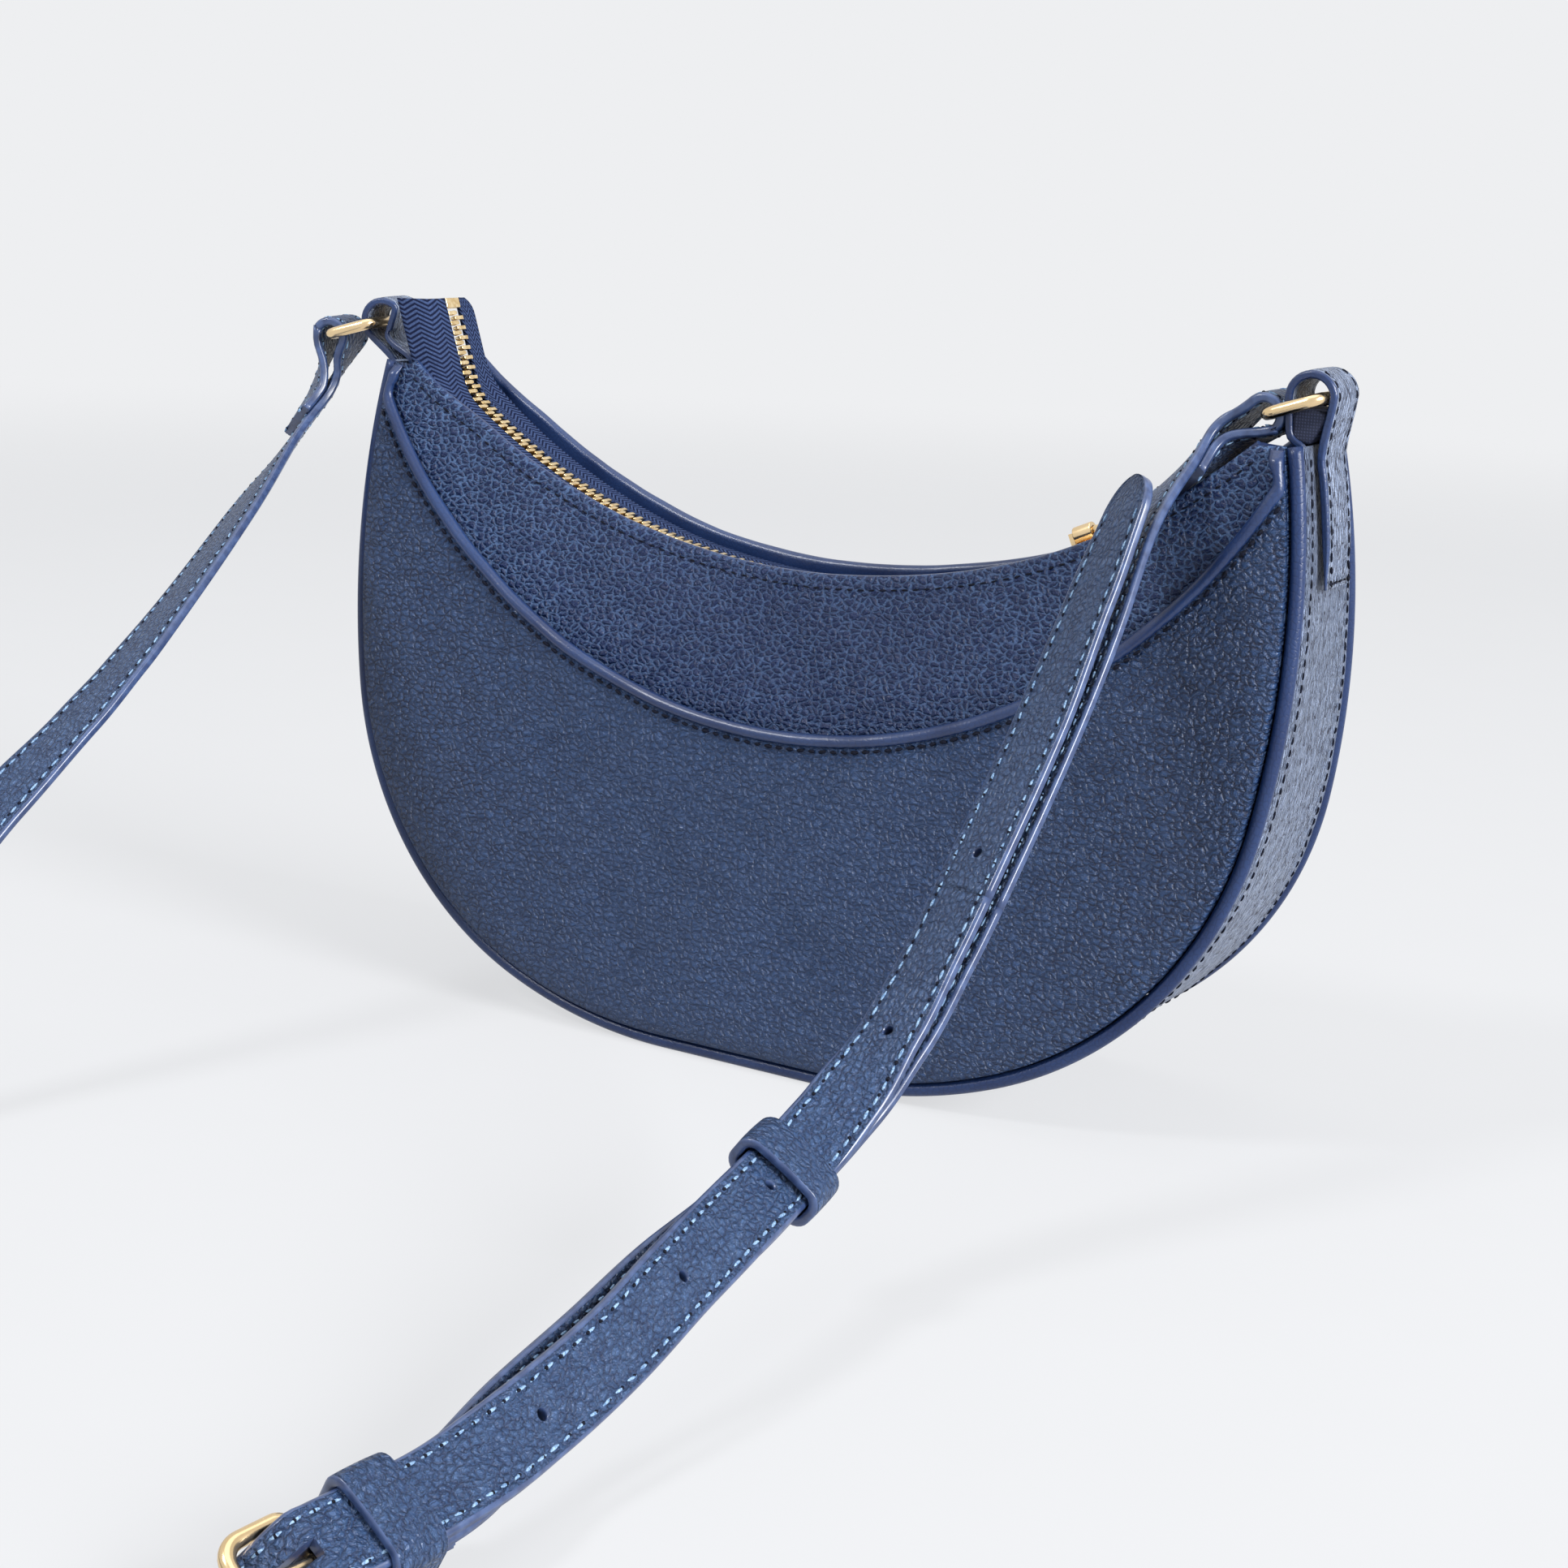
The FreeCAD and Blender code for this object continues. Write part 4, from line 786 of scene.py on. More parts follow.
def gusset_shell():
    rings = []
    for t in spread(261):
        x, z, nx, nz = outline_point(t, 0.0, GUSSET_TOP)
        half = half_depth(z, GUSSET_IN)
        ring = []
        for level, order in ((0.0, 1), (GUSSET_T, -1)):
            for v in spread(27)[::order]:
                tuck = 0.9 * max(0.0, abs(v) - 0.86) ** 2 / 0.0196
                hollow = GUSSET_HOLLOW * (1 - v * v) + tuck * (1 if level == 0.0 else 0.0)
                hollow += gusset_rumple(x, v, z) + 0.3
                ring.append((x - nx * (hollow + level), v * half, z - nz * (hollow + level)))
        rings.append(ring)
    return skin("gusset_leather_strip", rings, [gusset_leather_painted_light])


on_bag(gusset_shell(), "bag_leather", "gusset")


def gusset_row(v):
    line = []
    for t in spread(500, -0.985, 0.985):
        x, z, nx, nz = outline_point(t, 0.0, GUSSET_TOP)
        out = -GUSSET_HOLLOW * (1 - v * v) - 0.22 - gusset_rumple(x, v, z)
        line.append((x + nx * out, v * half_depth(z, GUSSET_IN), z + nz * out))
    return line


on_bag(stitches("gusset_stitches", [gusset_row(-0.8), gusset_row(0.8)], dark_thread), "bag_leather")


def lining_sheet(name, side):
    rings = []
    for t in spread(81, -0.96, 0.96):
        edge = outline_point(t, 5.0)[:2]
        brim = mouth_point(t, 10.0)
        ring = [on_panel(side, *between(edge, brim, v), -2.9) for v in spread(14, 0.02, 1.0)]
        ring += [on_panel(side, *between(edge, brim, v), -3.4) for v in spread(14, 1.0, 0.02)]
        rings.append(ring)
    return skin(name, rings, [lining])


for side, where in HALVES:
    on_bag(lining_sheet(where + "_lining_cloth", side), "lining", where + "_lining")


def gusset_lining():
    rings = []
    for t in spread(121, -0.95, 0.95):
        x, z, nx, nz = outline_point(t, 0.0, GUSSET_TOP)
        half = half_depth(z, SEAM)
        rings.append([(x - nx * level, v * half, z - nz * level)
                      for level, order in ((2.0, 1), (2.5, -1)) for v in spread(9)[::order]])
    return skin("gusset_lining_cloth", rings, [lining])


on_bag(gusset_lining(), "lining", "gusset_lining")

# Zip.
ZIP_R = MOUTH_R + 3.0
ZIP_SWEEP = math.asin(93.46 / ZIP_R)
ZIP_HALF = ZIP_R * ZIP_SWEEP
ZIP_BEND = 14.0
ZIP_TURN = {-1: math.radians(72.0), 1: math.radians(55.0)}
ZIP_RISE = {-1: 19.0, 1: 2.0}
SLIDER_AT = ZIP_R * math.radians(24.0)


def zip_length(hand):
    return ZIP_HALF + ZIP_BEND * (ZIP_TURN[hand] - ZIP_SWEEP) + ZIP_RISE[hand]


def zip_place(along):
    """Point of the zip at a length from the middle, and its slope."""
    hand = 1 if along > 0 else -1
    run = abs(along)
    if run <= ZIP_HALF:
        slope = run / ZIP_R
        return hand * ZIP_R * math.sin(slope), MOUTH_Z - ZIP_R * math.cos(slope), hand * slope
    slope = min(ZIP_SWEEP + (run - ZIP_HALF) / ZIP_BEND, ZIP_TURN[hand])
    rest = max(run - ZIP_HALF - ZIP_BEND * (ZIP_TURN[hand] - ZIP_SWEEP), 0.0)
    x = (ZIP_R * math.sin(ZIP_SWEEP) + ZIP_BEND * (math.sin(slope) - math.sin(ZIP_SWEEP))
         + rest * math.cos(slope))
    z = (MOUTH_Z - ZIP_R * math.cos(ZIP_SWEEP) + ZIP_BEND * (math.cos(ZIP_SWEEP) - math.cos(slope))
         + rest * math.sin(slope))
    return hand * x, z, hand * slope


def tape_reach(x, z):
    """Half width of the tape where it meets the inside of the facings."""
    local = z / math.cos(LEAN)
    level = min(local, mouth_height(x) - 0.5) if abs(x) < 100 else local
    return abs(on_panel(FRONT, x, level, -2.3).y)


CHAIN_HALF, CHAIN_OPEN = 2.7, 3.6
TAPE_STEPS = 12
CURL = math.radians(66.0)


def tape_sheet(name, side):
    """One half of the zip's tape; at the left end the near half curls round towards the tab."""
    rings = []
    for along in spread(281, -zip_length(-1), zip_length(1)):
        x, z, slope = zip_place(along)
        near = CHAIN_HALF + CHAIN_OPEN * min(max((along - SLIDER_AT + 1.0) / 6.0, 0.0), 1.0)
        reach = max(tape_reach(x, z) - near, 1.5)
        end = eased((-along - ZIP_HALF + 2.0) / 16.0)
        if side == BACK:
            curl = CURL * end
            reach += (12.5 - reach) * end
        else:
            curl = 0.0
            round_off = max(1 - ((zip_length(-1) + along) / 4.0), 0.0)
            reach += (5.2 * math.sqrt(1 - 0.75 * round_off ** 2) - reach) * end
        turns = [curl * eased((k / TAPE_STEPS - 0.25) / 0.5) for k in range(TAPE_STEPS + 1)]
        line = [Vector((x, side * near, z))]
        for turn in turns[1:]:
            step = Vector((-math.sin(turn), side * math.cos(turn), 0)) * (reach / TAPE_STEPS)
            line.append(line[-1] + step)
        up = Vector((-math.sin(slope), 0, math.cos(slope)))
        ring = []
        for level, order in ((0.3, 1), (-0.3, -1)):
            for k in range(TAPE_STEPS + 1)[::order]:
                share = k / TAPE_STEPS
                cord = 0.35 * math.exp(-(share * reach / 0.8) ** 2) * order
                sag = -0.5 * math.sin(math.pi * share) * min(1.0, reach / 8.0)
                face = (up * math.cos(turns[k]) + Vector((0, side, 0)) * math.sin(turns[k])).normalized()
                ring.append(line[k] + face * (level + cord + sag * (1 - end)))
        rings.append(ring)
    return skin(name, rings, [tape_weave])


for side, where in HALVES:
    on_bag(tape_sheet("zip_tape_%s_weave" % where, side), "zip_tape", "zip_tape_" + where)
for node_name, width in (("zip_teeth_back", 0.16), ("zip_teeth_front", 0.16),
                         ("zip_bottom_stop", 0.3), ("zip_top_stops", 0.3)):
    on_bag(rounded_copy(node_name, width, teeth_metal), "zip_teeth", node_name)
for node_name, width in (("zip_slider", 0.28), ("zip_pull", 0.3), ("buckle_prong", 0.25)):
    riding(rounded_copy(node_name, width, gold), node_name, "gold_hardware", node_name)


# Strap: routes through the same stations as the solids, drawn as smooth ribbons.
def vec(*values):
    return Vector(values)


# Stations: a place, the strap's width direction and, for the tail, its gap to the short strap below.
TAIL = [(vec(*row[:3]), vec(*row[3:6]), row[6]) for row in (
    (87.4, -31.5, 140.7, 0.80, -0.45, 0.38, 6.0),
    (84.9, -46.0, 117.4, 0.90, -0.38, 0.22, 2.4),
    (83.1, -62.0, 94.7, 0.95, -0.28, 0.16, 2.0),
    (80.9, -79.0, 73.9, 0.96, -0.26, 0.12, 2.0),
    (78.7, -90.5, 58.6, 0.96, -0.27, 0.09, 1.8),
    (76.3, -102.5, 44.7, 0.97, -0.18, 0.02, 1.4),
    (74.2, -115.5, 34.8, 0.93, 0.05, -0.33, 0.6),
    (73.0, -128.0, 28.8, 0.79, 0.15, -0.60, 0.4),
    (74.6, -151.0, 25.4, 0.79, 0.15, -0.60, 0.4),
    (76.5, -172.0, 22.7, 0.61, 0.17, -0.77, 3.0),
    (77.2, -191.0, 18.4, 0.55, 0.18, -0.81, 5.0),
    (76.3, -210.0, 14.6, 0.60, 0.07, -0.78, 4.0),
    (75.8, -231.5, 13.0, 0.85, -0.12, -0.50, 0.4),
    (71.6, -252.5, 12.0, 0.85, -0.18, -0.50, 0.4),
)]
LONG = [(vec(*row[:3]), vec(*row[3:])) for row in (
    (60.4, -275.5, 5.6, 0.70, -0.45, -0.50),
    (48.0, -292.0, 7.0, 0.25, -0.15, -0.95),
    (28.0, -306.0, 7.3, 0.0, 0.0, -1.0),
    (4.0, -317.0, 7.3, 0.0, 0.0, -1.0),
    (-25.0, -321.0, 7.3, 0.0, 0.0, -1.0),
    (-56.0, -313.0, 7.3, 0.0, 0.0, -1.0),
    (-84.0, -293.0, 7.3, 0.0, 0.0, -1.0),
    (-107.0, -262.0, 8.0, 0.0, 0.0, -1.0),
    (-120.0, -226.0, 11.5, 0.15, 0.10, -0.98),
    (-125.4, -192.0, 20.0, 0.47, 0.30, -0.83),
    (-124.8, -160.0, 36.0, 0.84, 0.23, -0.48),
    (-121.6, -128.0, 60.4, 0.98, -0.02, -0.17),
    (-118.4, -109.0, 75.0, 0.99, -0.11, 0.0),
    (-117.8, -95.0, 85.1, 0.98, -0.04, 0.18),
    (-119.5, -77.0, 96.9, 0.94, -0.06, 0.34),
    (-128.1, -45.2, 113.9, 0.90, -0.12, 0.42),
    (-134.1, -28.8, 121.4, 0.82, -0.32, 0.48),
    (-137.4, -15.4, 127.9, 0.62, -0.66, 0.42),
)]
SHORT_TOP = [(vec(*row[:3]), vec(*row[3:])) for row in (
    (87.2, -7.0, 140.4, 0.45, -0.85, 0.20),
    (86.6, -18.5, 136.4, 0.70, -0.55, 0.35),
    (85.8, -30.0, 128.0, 0.80, -0.52, 0.33),
)]
STRAP_W, STRAP_T = 14.0, 2.0


def section_axes(stations):
    """Point, direction, width and face directions at every station of a route."""
    points = [s[0] for s in stations]
    axes = []
    for i, point in enumerate(points):
        ahead = (points[min(i + 1, len(points) - 1)] - points[max(i - 1, 0)]).normalized()
        wide = square_to(ahead, stations[i][1])
        axes.append((point, ahead, wide, ahead.cross(wide)))
    return axes


tail_axes = section_axes(TAIL)
tail_line = [(p, w) for p, t, w, n in tail_axes]
under = [(p - n * (STRAP_T + TAIL[i][2]), w) for i, (p, t, w, n) in enumerate(tail_axes)]
KEPT, LEFT_HELD = 7, 10
BAR_BELOW, FOLD_R = 4.75, 2.35


def held_line(point, ahead, wide):
    """Direction, width and face where the strap lies straight in the buckle or the sliding keeper."""
    ahead = ahead.normalized()
    wide = square_to(ahead, wide)
    return point, ahead, wide, ahead.cross(wide)


bar_point, bar_ahead, bar_wide, bar_face = held_line(
    tail_axes[-1][0], tail_axes[-1][0] - tail_axes[-2][0], tail_axes[-1][2])
keeper_point, keeper_ahead, keeper_wide, keeper_face = held_line(
    tail_axes[KEPT][0], tail_axes[KEPT + 1][0] - tail_axes[KEPT][0], tail_axes[KEPT][2])
for first, wide, face in ((len(TAIL) - 2, bar_wide, bar_face), (KEPT, keeper_wide, keeper_face)):
    for k in (first, first + 1):
        tail_line[k] = (TAIL[k][0], wide)
        under[k] = (TAIL[k][0] - face * (STRAP_T + TAIL[k][2]), wide)
bar_centre = bar_point - bar_face * BAR_BELOW
low_point = bar_centre + bar_ahead * 13.0 - bar_face * 2.7
dip = bar_centre + bar_ahead * 9.7 - bar_face * 2.6
crest = bar_point + bar_ahead * 2.6

# Rings at the tips, the strap's loop on each and the tab that holds it.
RING_SPAN, RING_HALF, RING_CORNER, WIRE_R = 11.5, 8.6, 2.4, 1.3
LOOP_R, LOOP_LONG, TURNED_BACK = 3.6, 15.0, 27.0
RINGS = {
    "right": {"near": vec(113.803, 0, 156.289), "to": vec(-0.943, 0, -0.332).normalized(),
              "axis": vec(0, 1, 0),
              "away": vec(-0.84, 0, -0.54).normalized(), "tab": vec(111.6, 0, 156.29), "hand": 1,
              "slant": 16.0, "inside": ((4.0, -4.6), (7.5, -4.3))},
    "left": {"near": vec(-123.443, -0.547, 154.973), "to": vec(-0.927, -0.248, -0.28).normalized(),
             "axis": vec(-math.sin(math.radians(15.0)), math.cos(math.radians(15.0)), 0),
             "away": vec(-0.30, -0.08, -0.95).normalized(), "tab": vec(-121.4, 0, 155.59), "hand": -1,
             "slant": -34.0, "inside": ((4.0, 1.3),)},
}


def loop_start(where):
    """Stations of the strap where it leaves the ring: beside the bar, and at the foot of the loop."""
    ring = RINGS[where]
    away = ring["away"]
    wide = ring["axis"] * -ring["hand"]
    far = ring["near"] + ring["to"] * RING_SPAN
    face = away.cross(wide).normalized()
    centre = far + (ring["to"] + away).normalized()
    foot = far + away * LOOP_LONG
    slant = Matrix.Rotation(math.radians(ring["slant"]), 3, away)
    return centre, away, face, foot, [(centre + face * LOOP_R, wide), (foot + face * 1.05, slant @ wide)]


def framed(line):
    """Point, width, face direction and mark along a line of points."""
    frames = []
    for k, (here, wide, mark) in enumerate(line):
        ahead = (line[min(k + 1, len(line) - 1)][0] - line[max(k - 1, 0)][0]).normalized()
        wide = square_to(ahead, wide)
        frames.append((here, wide, ahead.cross(wide), mark))
    return frames


def smooth_route(stations, step=1.6):
    """Frames along a smooth curve through the stations; a mark counts the stations passed."""
    points = [s[0] for s in stations]
    wides = [s[1].normalized() for s in stations]
    line = []
    for i in range(len(points) - 1):
        p = [points[max(i - 1, 0)], points[i], points[i + 1], points[min(i + 2, len(points) - 1)]]
        chord = (p[2] - p[1]).length
        before = max((p[1] - p[0]).length, 1e-6)
        after = max((p[3] - p[2]).length, 1e-6)
        m1 = (p[2] - p[0]) / (before + chord) * chord if i else p[2] - p[1]
        m2 = (p[3] - p[1]) / (chord + after) * chord if i + 2 < len(points) else p[2] - p[1]
        pieces = max(2, round(chord / step))
        for k in range(pieces):
            u = k / pieces
            here = ((2 * u ** 3 - 3 * u * u + 1) * p[1] + (u ** 3 - 2 * u * u + u) * m1
                    + (3 * u * u - 2 * u ** 3) * p[2] + (u ** 3 - u * u) * m2)
            line.append((here, wides[i].lerp(wides[i + 1], eased(u)), i + u))
    line.append((points[-1], wides[-1], float(len(points) - 1)))
    return framed(line)


def without_kinks(frames, first, last, passes=60):
    """Even out the run between two marks, as leather does."""
    points = [f[0] for f in frames]
    wides = [f[1] for f in frames]
    ease = [0.5 * eased((f[3] - first) / 0.8) * eased((last - f[3]) / 0.8) for f in frames]
    for _ in range(passes):
        for values in (points, wides):
            old = list(values)
            for k in range(1, len(old) - 1):
                if ease[k] > 0:
                    values[k] = old[k].lerp((old[k - 1] + old[k + 1]) / 2, ease[k])
    return framed([(p, w, f[3]) for p, w, f in zip(points, wides, frames)])


def with_runs(frames):
    """Frames, each with the length passed up to it."""
    run, last = 0.0, frames[0][0]
    for passed in frames:
        run += (passed[0] - last).length
        last = passed[0]
        yield run, passed


def ring_wrap(where, main):
    """Strap's end round a ring's bar, from its sewn cut end to where the main run starts."""
    centre, away, face, _, start = loop_start(where)
    back = []
    for run, (here, wide, lift, _) in with_runs(main):
        if run > TURNED_BACK:
            break
        apart = 2.15 + 5.05 * max(1 - run / 16.0, 0.0) ** 1.2
        back.append((here - lift * apart, wide, -1.0 - run / 10))
    turn = []
    for k in range(1, 16):
        a = math.pi * (k / 16 - 0.5)
        here = centre + (face * math.sin(a) - away * math.cos(a)) * LOOP_R
        turn.append((here, start[0][1], -1.0 + k / 16))
    return back[::-1] + turn


def strap_profile(width, thick, crown, groove=None):
    """Cross-section of a flat strap: faces sunk along the stitch rows, painted edges of two layers."""
    half = width / 2
    r = min(0.45 * thick, 0.85) if groove else 0.4
    row = groove or half * 0.6
    level = sorted([-half + r * 0.9, -half + 1.3, -row - 0.8, -row - 0.35, -row, -row + 0.35, -row + 0.8,
                    -half * 0.35, 0.0])
    level = level + [-u for u in level[-2::-1]]

    def height(u):
        sunk = 0.16 * math.exp(-((abs(u) - row) / 0.4) ** 2) if groove else 0.0
        return thick / 2 + crown * (1 - (u / half) ** 2) - sunk

    points = [(u, height(u)) for u in level]
    tags = [0] * len(level)
    tags[-1] = 1
    sides = []
    for k in range(1, 8):
        a = math.pi / 2 - math.pi * k / 8
        parting = 0.22 if k == 4 and groove else 0.0
        sides.append((half - r + r * math.cos(a) - parting, thick / 2 * math.sin(a)))
    points += sides + [(-u, -h) for u, h in points] + [(-u, -h) for u, h in sides]
    tags += [1] * len(sides)
    return points, tags * 2


STRAP_ROW, TAB_ROW = 5.0, 5.2
STRAP_SECTION = strap_profile(STRAP_W, STRAP_T, 0.12, STRAP_ROW)
TAB_SECTION = strap_profile(14.0, 1.6, 0.1, TAB_ROW)
KEEPER_SECTION = strap_profile(9.2, 1.7, 0.15)


def ribbon(name, frames, section, closed=False, widths=None, thins=None, finish=(strap_leather, edge_paint)):
    points, tags = section
    rings = []
    for k, (here, wide, face, mark) in enumerate(frames):
        across = widths[k] if widths else 1.0
        thin = thins[k] if thins else 1.0
        rings.append([here + wide * (u * across) + face * (h * thin) for u, h in points])
    return skin(name, rings, finish, tags, closed)


def rows_on(frames, across, level, faces=(1, -1)):
    """Stitch lines along a strap, on its faces."""
    return [[here + wide * (hand * across) + face * (up * level) for here, wide, face, mark in frames]
            for hand in (-1, 1) for up in faces]


def cut_holes(piece, tools):
    """Punch through a piece with solid tools."""
    for tool in tools:
        modifier = piece.modifiers.new("punch", "BOOLEAN")
        modifier.operation = "DIFFERENCE"
        modifier.solver = "EXACT"
        modifier.object = tool
    mesh = evaluated_mesh(piece)
    piece.modifiers.clear()
    piece.data = mesh
    for tool in tools:
        bpy.data.objects.remove(tool)


def at_mark(frames, mark):
    return min(frames, key=lambda f: abs(f[3] - mark))


def stretch(frames, start, end):
    return [f for f in frames if start - 1e-9 <= f[3] <= end + 1e-9]


HOLE_R, TIP_HOLE, TAIL_HOLES = 1.05, 2.98, (5.0, 7.52, 9.0, 11.0)


def hole_punch(mark):
    here, _, face, _ = at_mark(long_frames, mark)
    return tube("punch", [here - face * 4, here, here + face * 4], HOLE_R, edge_paint, sides=20)


def slot_punch(name, along, length, width, up, height):
    """Box across the strap at the buckle, placed from the middle of its bar."""
    box = bmesh.new()
    bmesh.ops.create_cube(box, size=1.0)
    for vertex in box.verts:
        x, y, z = vertex.co
        place = (bar_centre + bar_ahead * (along + x * length) + bar_wide * (y * width)
                 + bar_face * (up + z * height))
        vertex.co = place * MM
    return new_object(name, taken_from(box, name), [edge_paint])


def tip_widths(frames, reach=8.0):
    """Rounded end: the strap narrows over its last few millimetres."""
    shares = [min(run / reach, 1.0) for run, _ in with_runs(frames)]
    return [max(math.sqrt(1 - (1 - u) ** 2), 0.12) for u in shares]


def bending(hold):
    """Settles a piece between a ring and the bag: bakes its placement in and hides the nodes it stands for;
    it is tied to neither.
    """
    def settle(piece, slot, *nodes):
        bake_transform(piece)
        if nodes:
            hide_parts(*nodes)
    return settle


def strap_piece(name, frames, settle, *nodes, tools=(), widths=None, sewn_frames=None):
    """A stretch of the strap with its holes and its stitching."""
    leather = ribbon(name + "_leather", frames, STRAP_SECTION, widths=widths)
    if tools:
        cut_holes(leather, tools)
    settle(leather, "strap_leather", *nodes)
    for row in sewn(name, rows_on(sewn_frames or frames, STRAP_ROW, 0.92)):
        settle(row, "strap_leather")


left_foot, left_start = loop_start("left")[3:]
right_foot, right_start = loop_start("right")[3:]

# Long strap, from the tail's tip through the buckle and over the floor to the left ring.
tail_stations = tail_line + [(crest, bar_wide), (dip, bar_wide), (low_point, bar_wide)]
long_stations = tail_stations + LONG + [(p, -w) for p, w in left_start[::-1]]
LOW_MARK = len(tail_stations) - 1
RISE_MARK = LOW_MARK + 11
END_MARK = len(long_stations) - 1
TIP_END, TIP_SEWN, TIP_FINE = 3.4, 0.32, 0.5
long_frames = without_kinks(smooth_route(long_stations), END_MARK - 6.0, END_MARK - 0.3)
left_main = [(p, -w, n, mark) for p, w, n, mark in long_frames[::-1]]
left_end = [(p, -w, END_MARK - mark) for p, w, mark in ring_wrap("left", left_main)[::-1]]
long_frames = framed([(p, w, mark) for p, w, n, mark in long_frames] + left_end)
tip_point, _, _, tip_cut = at_mark(long_frames, TIP_END)
on_right_ring = bending({"start": tuple(right_foot * MM), "end": tuple(tip_point * MM)})
on_left_ring = bending({"start": tuple(left_foot * MM), "end": tuple(LONG[LEFT_HELD][0] * MM)})

tip_frames = stretch(smooth_route(long_stations[:5], 0.5), 0, TIP_FINE)
tip_frames += [f for f in stretch(long_frames, 0, tip_cut) if f[3] > TIP_FINE]
strap_piece("strap_tail_tip", tip_frames, on_right_ring, "strap_tail_tip", tools=[hole_punch(TIP_HOLE)],
            widths=tip_widths(tip_frames), sewn_frames=[f for f in tip_frames if f[3] > TIP_SEWN])
tail_punches = [hole_punch(mark) for mark in TAIL_HOLES]
strap_piece("strap_tail", stretch(long_frames, tip_cut, LOW_MARK), on_bag, "strap_tail",
            tools=tail_punches + [slot_punch("prong_slot", 4.9, 6.4, 2.7, 1.0, 10.0)])
strap_piece("strap_floor", stretch(long_frames, LOW_MARK, RISE_MARK), on_bag, "strap_floor")
strap_piece("strap_left_rise", stretch(long_frames, RISE_MARK, END_MARK + 20), on_left_ring,
            "strap_left_rise", "strap_end_left")

# Short strap, from the right ring under the tail to the fold round the buckle's bar.
fold_stations = []
for k in range(9):
    a = math.pi / 2 - math.pi * k / 8
    here = bar_centre + (bar_ahead * math.cos(a) + bar_face * math.sin(a)) * FOLD_R
    fold_stations.append((here, bar_wide))
sewn_level = under[-1][0] - bar_face * 2.3
fold_stations += [(sewn_level - bar_ahead * 11.7, bar_wide), (sewn_level - bar_ahead * 19.5, bar_wide)]
for k, aside, closer in ((9, 0.8, 1.2), (10, 1.3, 2.4), (11, 1.3, 1.8)):
    under[k] = (under[k][0] - under[k][1] * aside + tail_axes[k][3] * closer, under[k][1])
short_stations = right_start + SHORT_TOP + under[1:] + fold_stations[1:]
RISE_END = len(right_start) + len(SHORT_TOP) + 2.4
FOLD_MARK = len(right_start) + len(SHORT_TOP) + len(under) - 2
short_frames = without_kinks(smooth_route(short_stations), 0.3, 6.5)
short_frames = framed(ring_wrap("right", short_frames) + [(p, w, mark) for p, w, n, mark in short_frames])
short_frames = without_kinks(short_frames, -4.4, -1.0, 12)
short_cut = at_mark(short_frames, RISE_END)[3]
strap_piece("strap_short_rise", stretch(short_frames, -9, short_cut), on_right_ring,
            "strap_short_rise", "strap_end_right")
strap_piece("strap_short", stretch(short_frames, short_cut, len(short_stations)), on_bag,
            "strap_short", "strap_fold", tools=[slot_punch("fold_slot", 0.8, 7.2, 3.2, 0.0, 8.6)],
            sewn_frames=stretch(short_frames, short_cut, FOLD_MARK))


# Keepers, rings and buckle.
def keeper_frames(centre, along, wide, face, inner_wide, inner_high, arch):
    """Closed path of a leather loop round the strap, its width running along the strap."""
    half_w, half_h, corner = inner_wide / 2 + 0.7, inner_high / 2 + 0.7, 2.3
    flat_path = []
    corners = ((1, 1, 0), (-1, 1, 90), (-1, -1, 180), (1, -1, 270))
    for cx, cz, turn in corners:
        for k in range(7):
            a = math.radians(turn + 15 * k)
            flat_path.append((cx * (half_w - corner) + corner * math.cos(a),
                              cz * (half_h - corner) + corner * math.sin(a)))
        if turn in (0, 180):
            flat_path += [(cx * (half_w - corner) * (1 - 2 * k / 8), cz * half_h) for k in range(1, 8)]
    points = [(u, h + (arch * (1 - (u / half_w) ** 2) if h > 0 else 0.0)) for u, h in flat_path]
    frames = []
    for k, (u, h) in enumerate(points):
        after, before = points[(k + 1) % len(points)], points[k - 1]
        go = (wide * (after[0] - before[0]) + face * (after[1] - before[1])).normalized()
        frames.append((centre + wide * u + face * h, along, along.cross(go) * -1, 0.0))
    return frames


two_layers = 2 * STRAP_T + TAIL[KEPT][2]
slide_from = keeper_point + keeper_ahead * 5.0 - keeper_face * (two_layers - STRAP_T) / 2
slide_path = keeper_frames(slide_from, keeper_ahead, keeper_wide, keeper_face, 15.0, two_layers + 1.0, 0.5)
riding(ribbon("keeper_sliding_leather", slide_path, KEEPER_SECTION, closed=True),
       "keeper_sliding", "strap_leather", "keeper_sliding")
three_layers = 3 * STRAP_T + TAIL[-1][2] + 1.7
fixed_at = bar_point - bar_ahead * 10.5 - bar_face * (three_layers - STRAP_T) / 2
fixed_path = keeper_frames(fixed_at, bar_ahead, bar_wide, bar_face, 14.6, three_layers + 0.6, 0.4)
on_bag(ribbon("keeper_fixed_leather", fixed_path, KEEPER_SECTION, closed=True),
       "strap_leather", "keeper_fixed")


def wire_hoop(name, start, along, axis, span, corner, far_corner):
    """Rounded rectangle of wire from one bar to the other."""
    path = []
    for far, hand, r, turn in ((1, 1, far_corner, 0), (0, 1, corner, 90), (0, -1, corner, 180),
                               (1, -1, far_corner, 270)):
        cx, cy = (span - r if far else r), hand * (RING_HALF - r)
        for k in range(10):
            a = math.radians(turn + 10 * k)
            path.append(start + along * (cx + r * math.cos(a)) + axis * (cy + r * math.sin(a)))
    return tube(name, path, WIRE_R, gold, closed=True, sides=20)


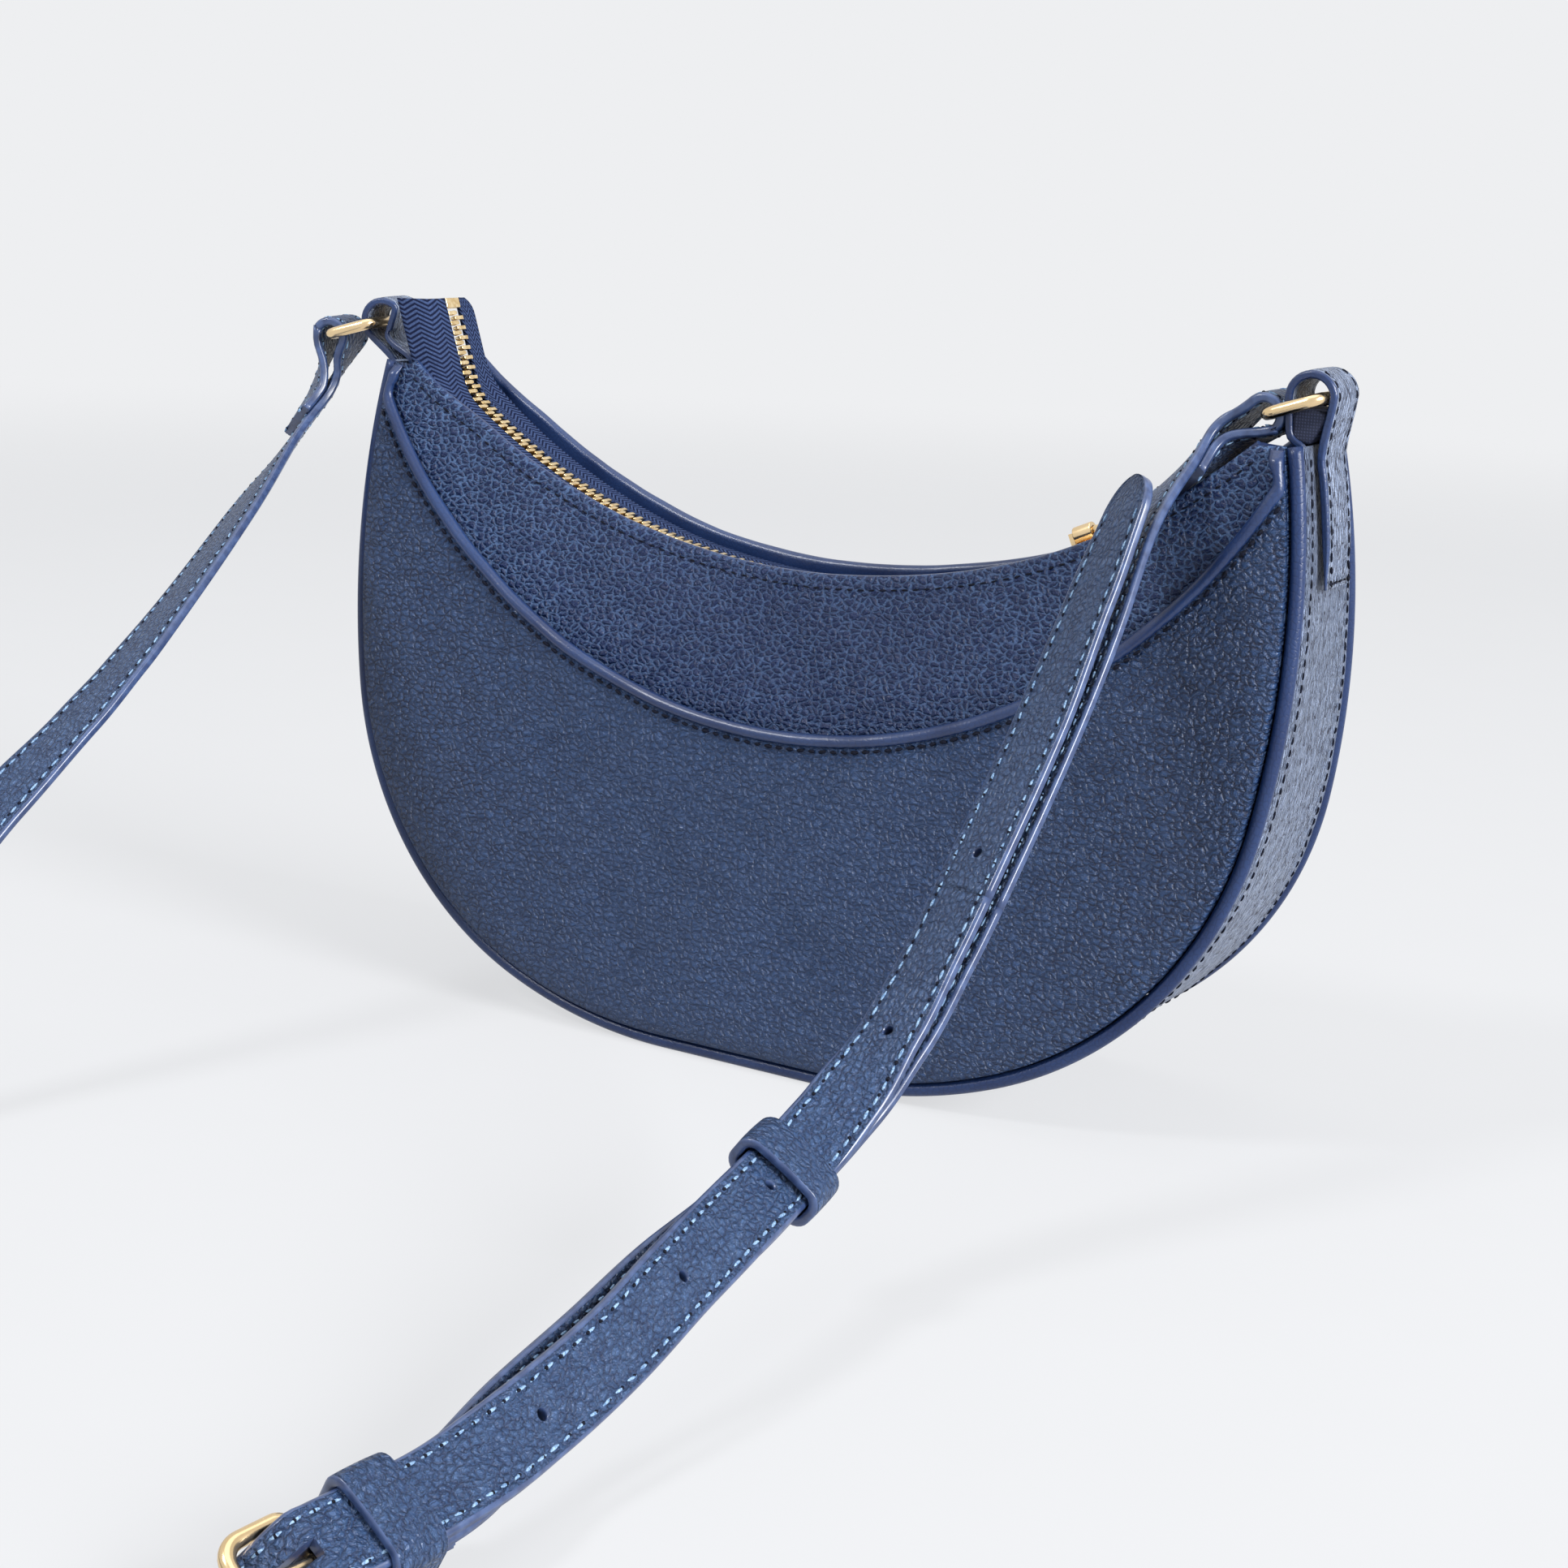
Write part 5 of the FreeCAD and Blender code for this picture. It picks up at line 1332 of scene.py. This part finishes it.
for where, ring in RINGS.items():
    node_name = "ring_" + where
    wire = wire_hoop(node_name + "_wire", ring["near"], ring["to"], ring["axis"],
                     RING_SPAN, RING_CORNER, RING_CORNER)
    riding(wire, node_name, "gold_hardware", node_name)
on_bag(wire_hoop("buckle_wire", bar_centre, bar_ahead, bar_wide, 11.0, 1.8, 3.6),
       "gold_hardware", "buckle_frame")


TAB_SEATS, TAB_LOOP_R = (119.0, 126.0, 133.0, 140.0, 145.0), 4.6


def tab_stations(where):
    """Tab: plate on the gusset, loop over the ring's bar, short leg inside."""
    ring = RINGS[where]
    hand, axis, centre = ring["hand"], ring["axis"], ring["tab"]
    tip_x = outline_point(1.0, 0.0, GUSSET_TOP)[0]
    across = vec(0, 1, 0)
    cx, cz, r, _, _ = outline_arcs(0.0, GUSSET_TOP)[2]
    stations = []
    for z in TAB_SEATS:
        turn = math.acos((cz - z) / (r + 1.0))
        stations.append((vec(hand * (cx + (r + 1.0) * math.sin(turn)), 0, z), across))
    foot = vec(hand * (tip_x - 0.7), 0, GUSSET_TOP) - centre
    foot = square_to(axis, foot)
    outer = axis.cross(foot)
    if outer.x * hand < 0:
        outer.negate()
    for k in range(9):
        a = math.pi * k / 8
        stations.append((centre + (outer * math.cos(a) - foot * math.sin(a)) * TAB_LOOP_R, axis))
    inner_x = hand * (tip_x - 2.4)
    stations += [(centre + foot * down + outer * out, axis) for down, out in ring["inside"]]
    inner_top = GUSSET_TOP + 1.0 - len(ring["inside"])
    return stations + [(vec(inner_x, 0, z), across) for z in (inner_top, GUSSET_TOP - 3.8)]


def tab_loop_shade_filler():
    """Dark lining cloth, shaped like folded leather, that fills the right tab's loop under the ring's bar: a
    dark piece put there as painted shade for the shadowed inside of the loop.
    """
    across = RINGS["right"]["axis"]
    centre = RINGS["right"]["tab"]
    outline = [(3.4, 3.4), (2.9, 2.7), (1.6, 2.4), (-1.8, 2.4), (-3.0, 2.8), (-3.6, 3.6), (-3.5, 7.5),
               (-2.6, 8.8), (-0.6, 9.2), (0.6, 9.0), (1.7, 7.5), (2.7, 5.4)]
    rings = []
    for v, scale in ((-6.6, 0.8), (-6.3, 0.95), (-5.6, 1.0), (0.0, 1.0),
                     (5.6, 1.0), (6.3, 0.95), (6.6, 0.8)):
        rings.append([centre + across * v + vec((u - 0.2) * scale + 0.2, 0, -((down - 5.5) * scale + 5.5))
                      for u, down in outline])
    return skin("tab_right_shade_filler", rings, [lining])


# Dark filler as painted shade inside the right tab's loop.
on_bag(tab_loop_shade_filler(), "bag_leather")
for where in RINGS:
    tab_frames = smooth_route(tab_stations(where), 1.2)
    thins = [0.3 + 0.7 * eased(f[3] / 1.5) for f in tab_frames]
    # The tabs wear the gusset's leather with its painted highlight and painted shade.
    on_bag(ribbon("tab_%s_leather" % where, tab_frames, TAB_SECTION, thins=thins,
                  finish=(gusset_leather_painted_light, turned_edge)), "bag_leather", "tab_" + where)
    plate = [f for f in tab_frames if f[3] < 8]
    facing = 1 if plate[2][2].x * RINGS[where]["hand"] > 0 else -1
    rows = rows_on(plate[1:], TAB_ROW, 0.74, (facing,))
    start = plate[1]
    rows.append([start[0] + start[1] * u + start[2] * facing * 0.85 for u in spread(24, -TAB_ROW, TAB_ROW)])
    on_bag(stitches("tab_%s_stitches" % where, rows, dark_thread), "bag_leather")


# Floor, light and background.
FLOOR_HALF, FADE_FROM, FADE_TO = 3.0, 0.75, 1.6
LAMPS = (("window", (1.85, -0.35, 0.94), (0.05, -0.05, 0.06), 0.9, 60.0),
         ("top", (-0.1, -0.05, 1.4), (0.0, -0.1, 0.0), 1.3, 4.5),
         ("fill", (-0.6, -0.9, 1.1), (0.0, -0.05, 0.06), 0.3, 10.0))


def pale_floor():
    """Matt paper that takes shadows and fades out into the background."""
    g = material_graph("pale_floor")
    place = g.place()
    tone = g.mix(g.noise(place, 30.0, 2.0), colour(209, 210, 213), colour(213, 214, 217))
    paper = g.node("ShaderNodeBsdfPrincipled", {},
                   {"Base Color": tone, "Roughness": 1.0, "Specular IOR Level": 0.0})
    glow = g.node("ShaderNodeEmission", {}, {"Color": colour(239, 240, 242), "Strength": 1.0})
    lit = g.mix_shaders(g.seen() * 0.75, paper, glow)
    away = g.node("ShaderNodeVectorMath", {"operation": "LENGTH"}, {0: place}, "Value")
    clear = g.node("ShaderNodeBsdfTransparent", {}, {})
    return g.finish(g.mix_shaders(g.ramp(away, FADE_FROM, FADE_TO), lit, clear))


def studio():
    mesh = bpy.data.meshes.new("floor")
    corners = ((-1, -1), (1, -1), (1, 1), (-1, 1))
    mesh.from_pydata([(x * FLOOR_HALF, y * FLOOR_HALF, 0) for x, y in corners], [], [(0, 1, 2, 3)])
    floor = new_object("floor", mesh, [pale_floor()])

    world = bpy.data.worlds.new("studio")
    bpy.context.scene.world = world
    g = Graph(world)
    plain = g.node("ShaderNodeBackground", {}, {"Color": colour(238, 239, 241)})
    soft = g.node("ShaderNodeBackground", {}, {"Color": (0.92, 0.95, 1.0, 1.0), "Strength": 0.3})
    g.node("ShaderNodeOutputWorld", {}, {"Surface": g.mix_shaders(g.seen(), soft, plain)})

    for name, place, aim, size, power in LAMPS:
        data = bpy.data.lights.new(name, "AREA")
        data.shape = "DISK"
        data.size = size
        data.energy = power
        lamp = linked(name, data)
        lamp.location = place
        lamp.rotation_euler = (Vector(place) - Vector(aim)).to_track_quat("Z", "Y").to_euler()


studio()
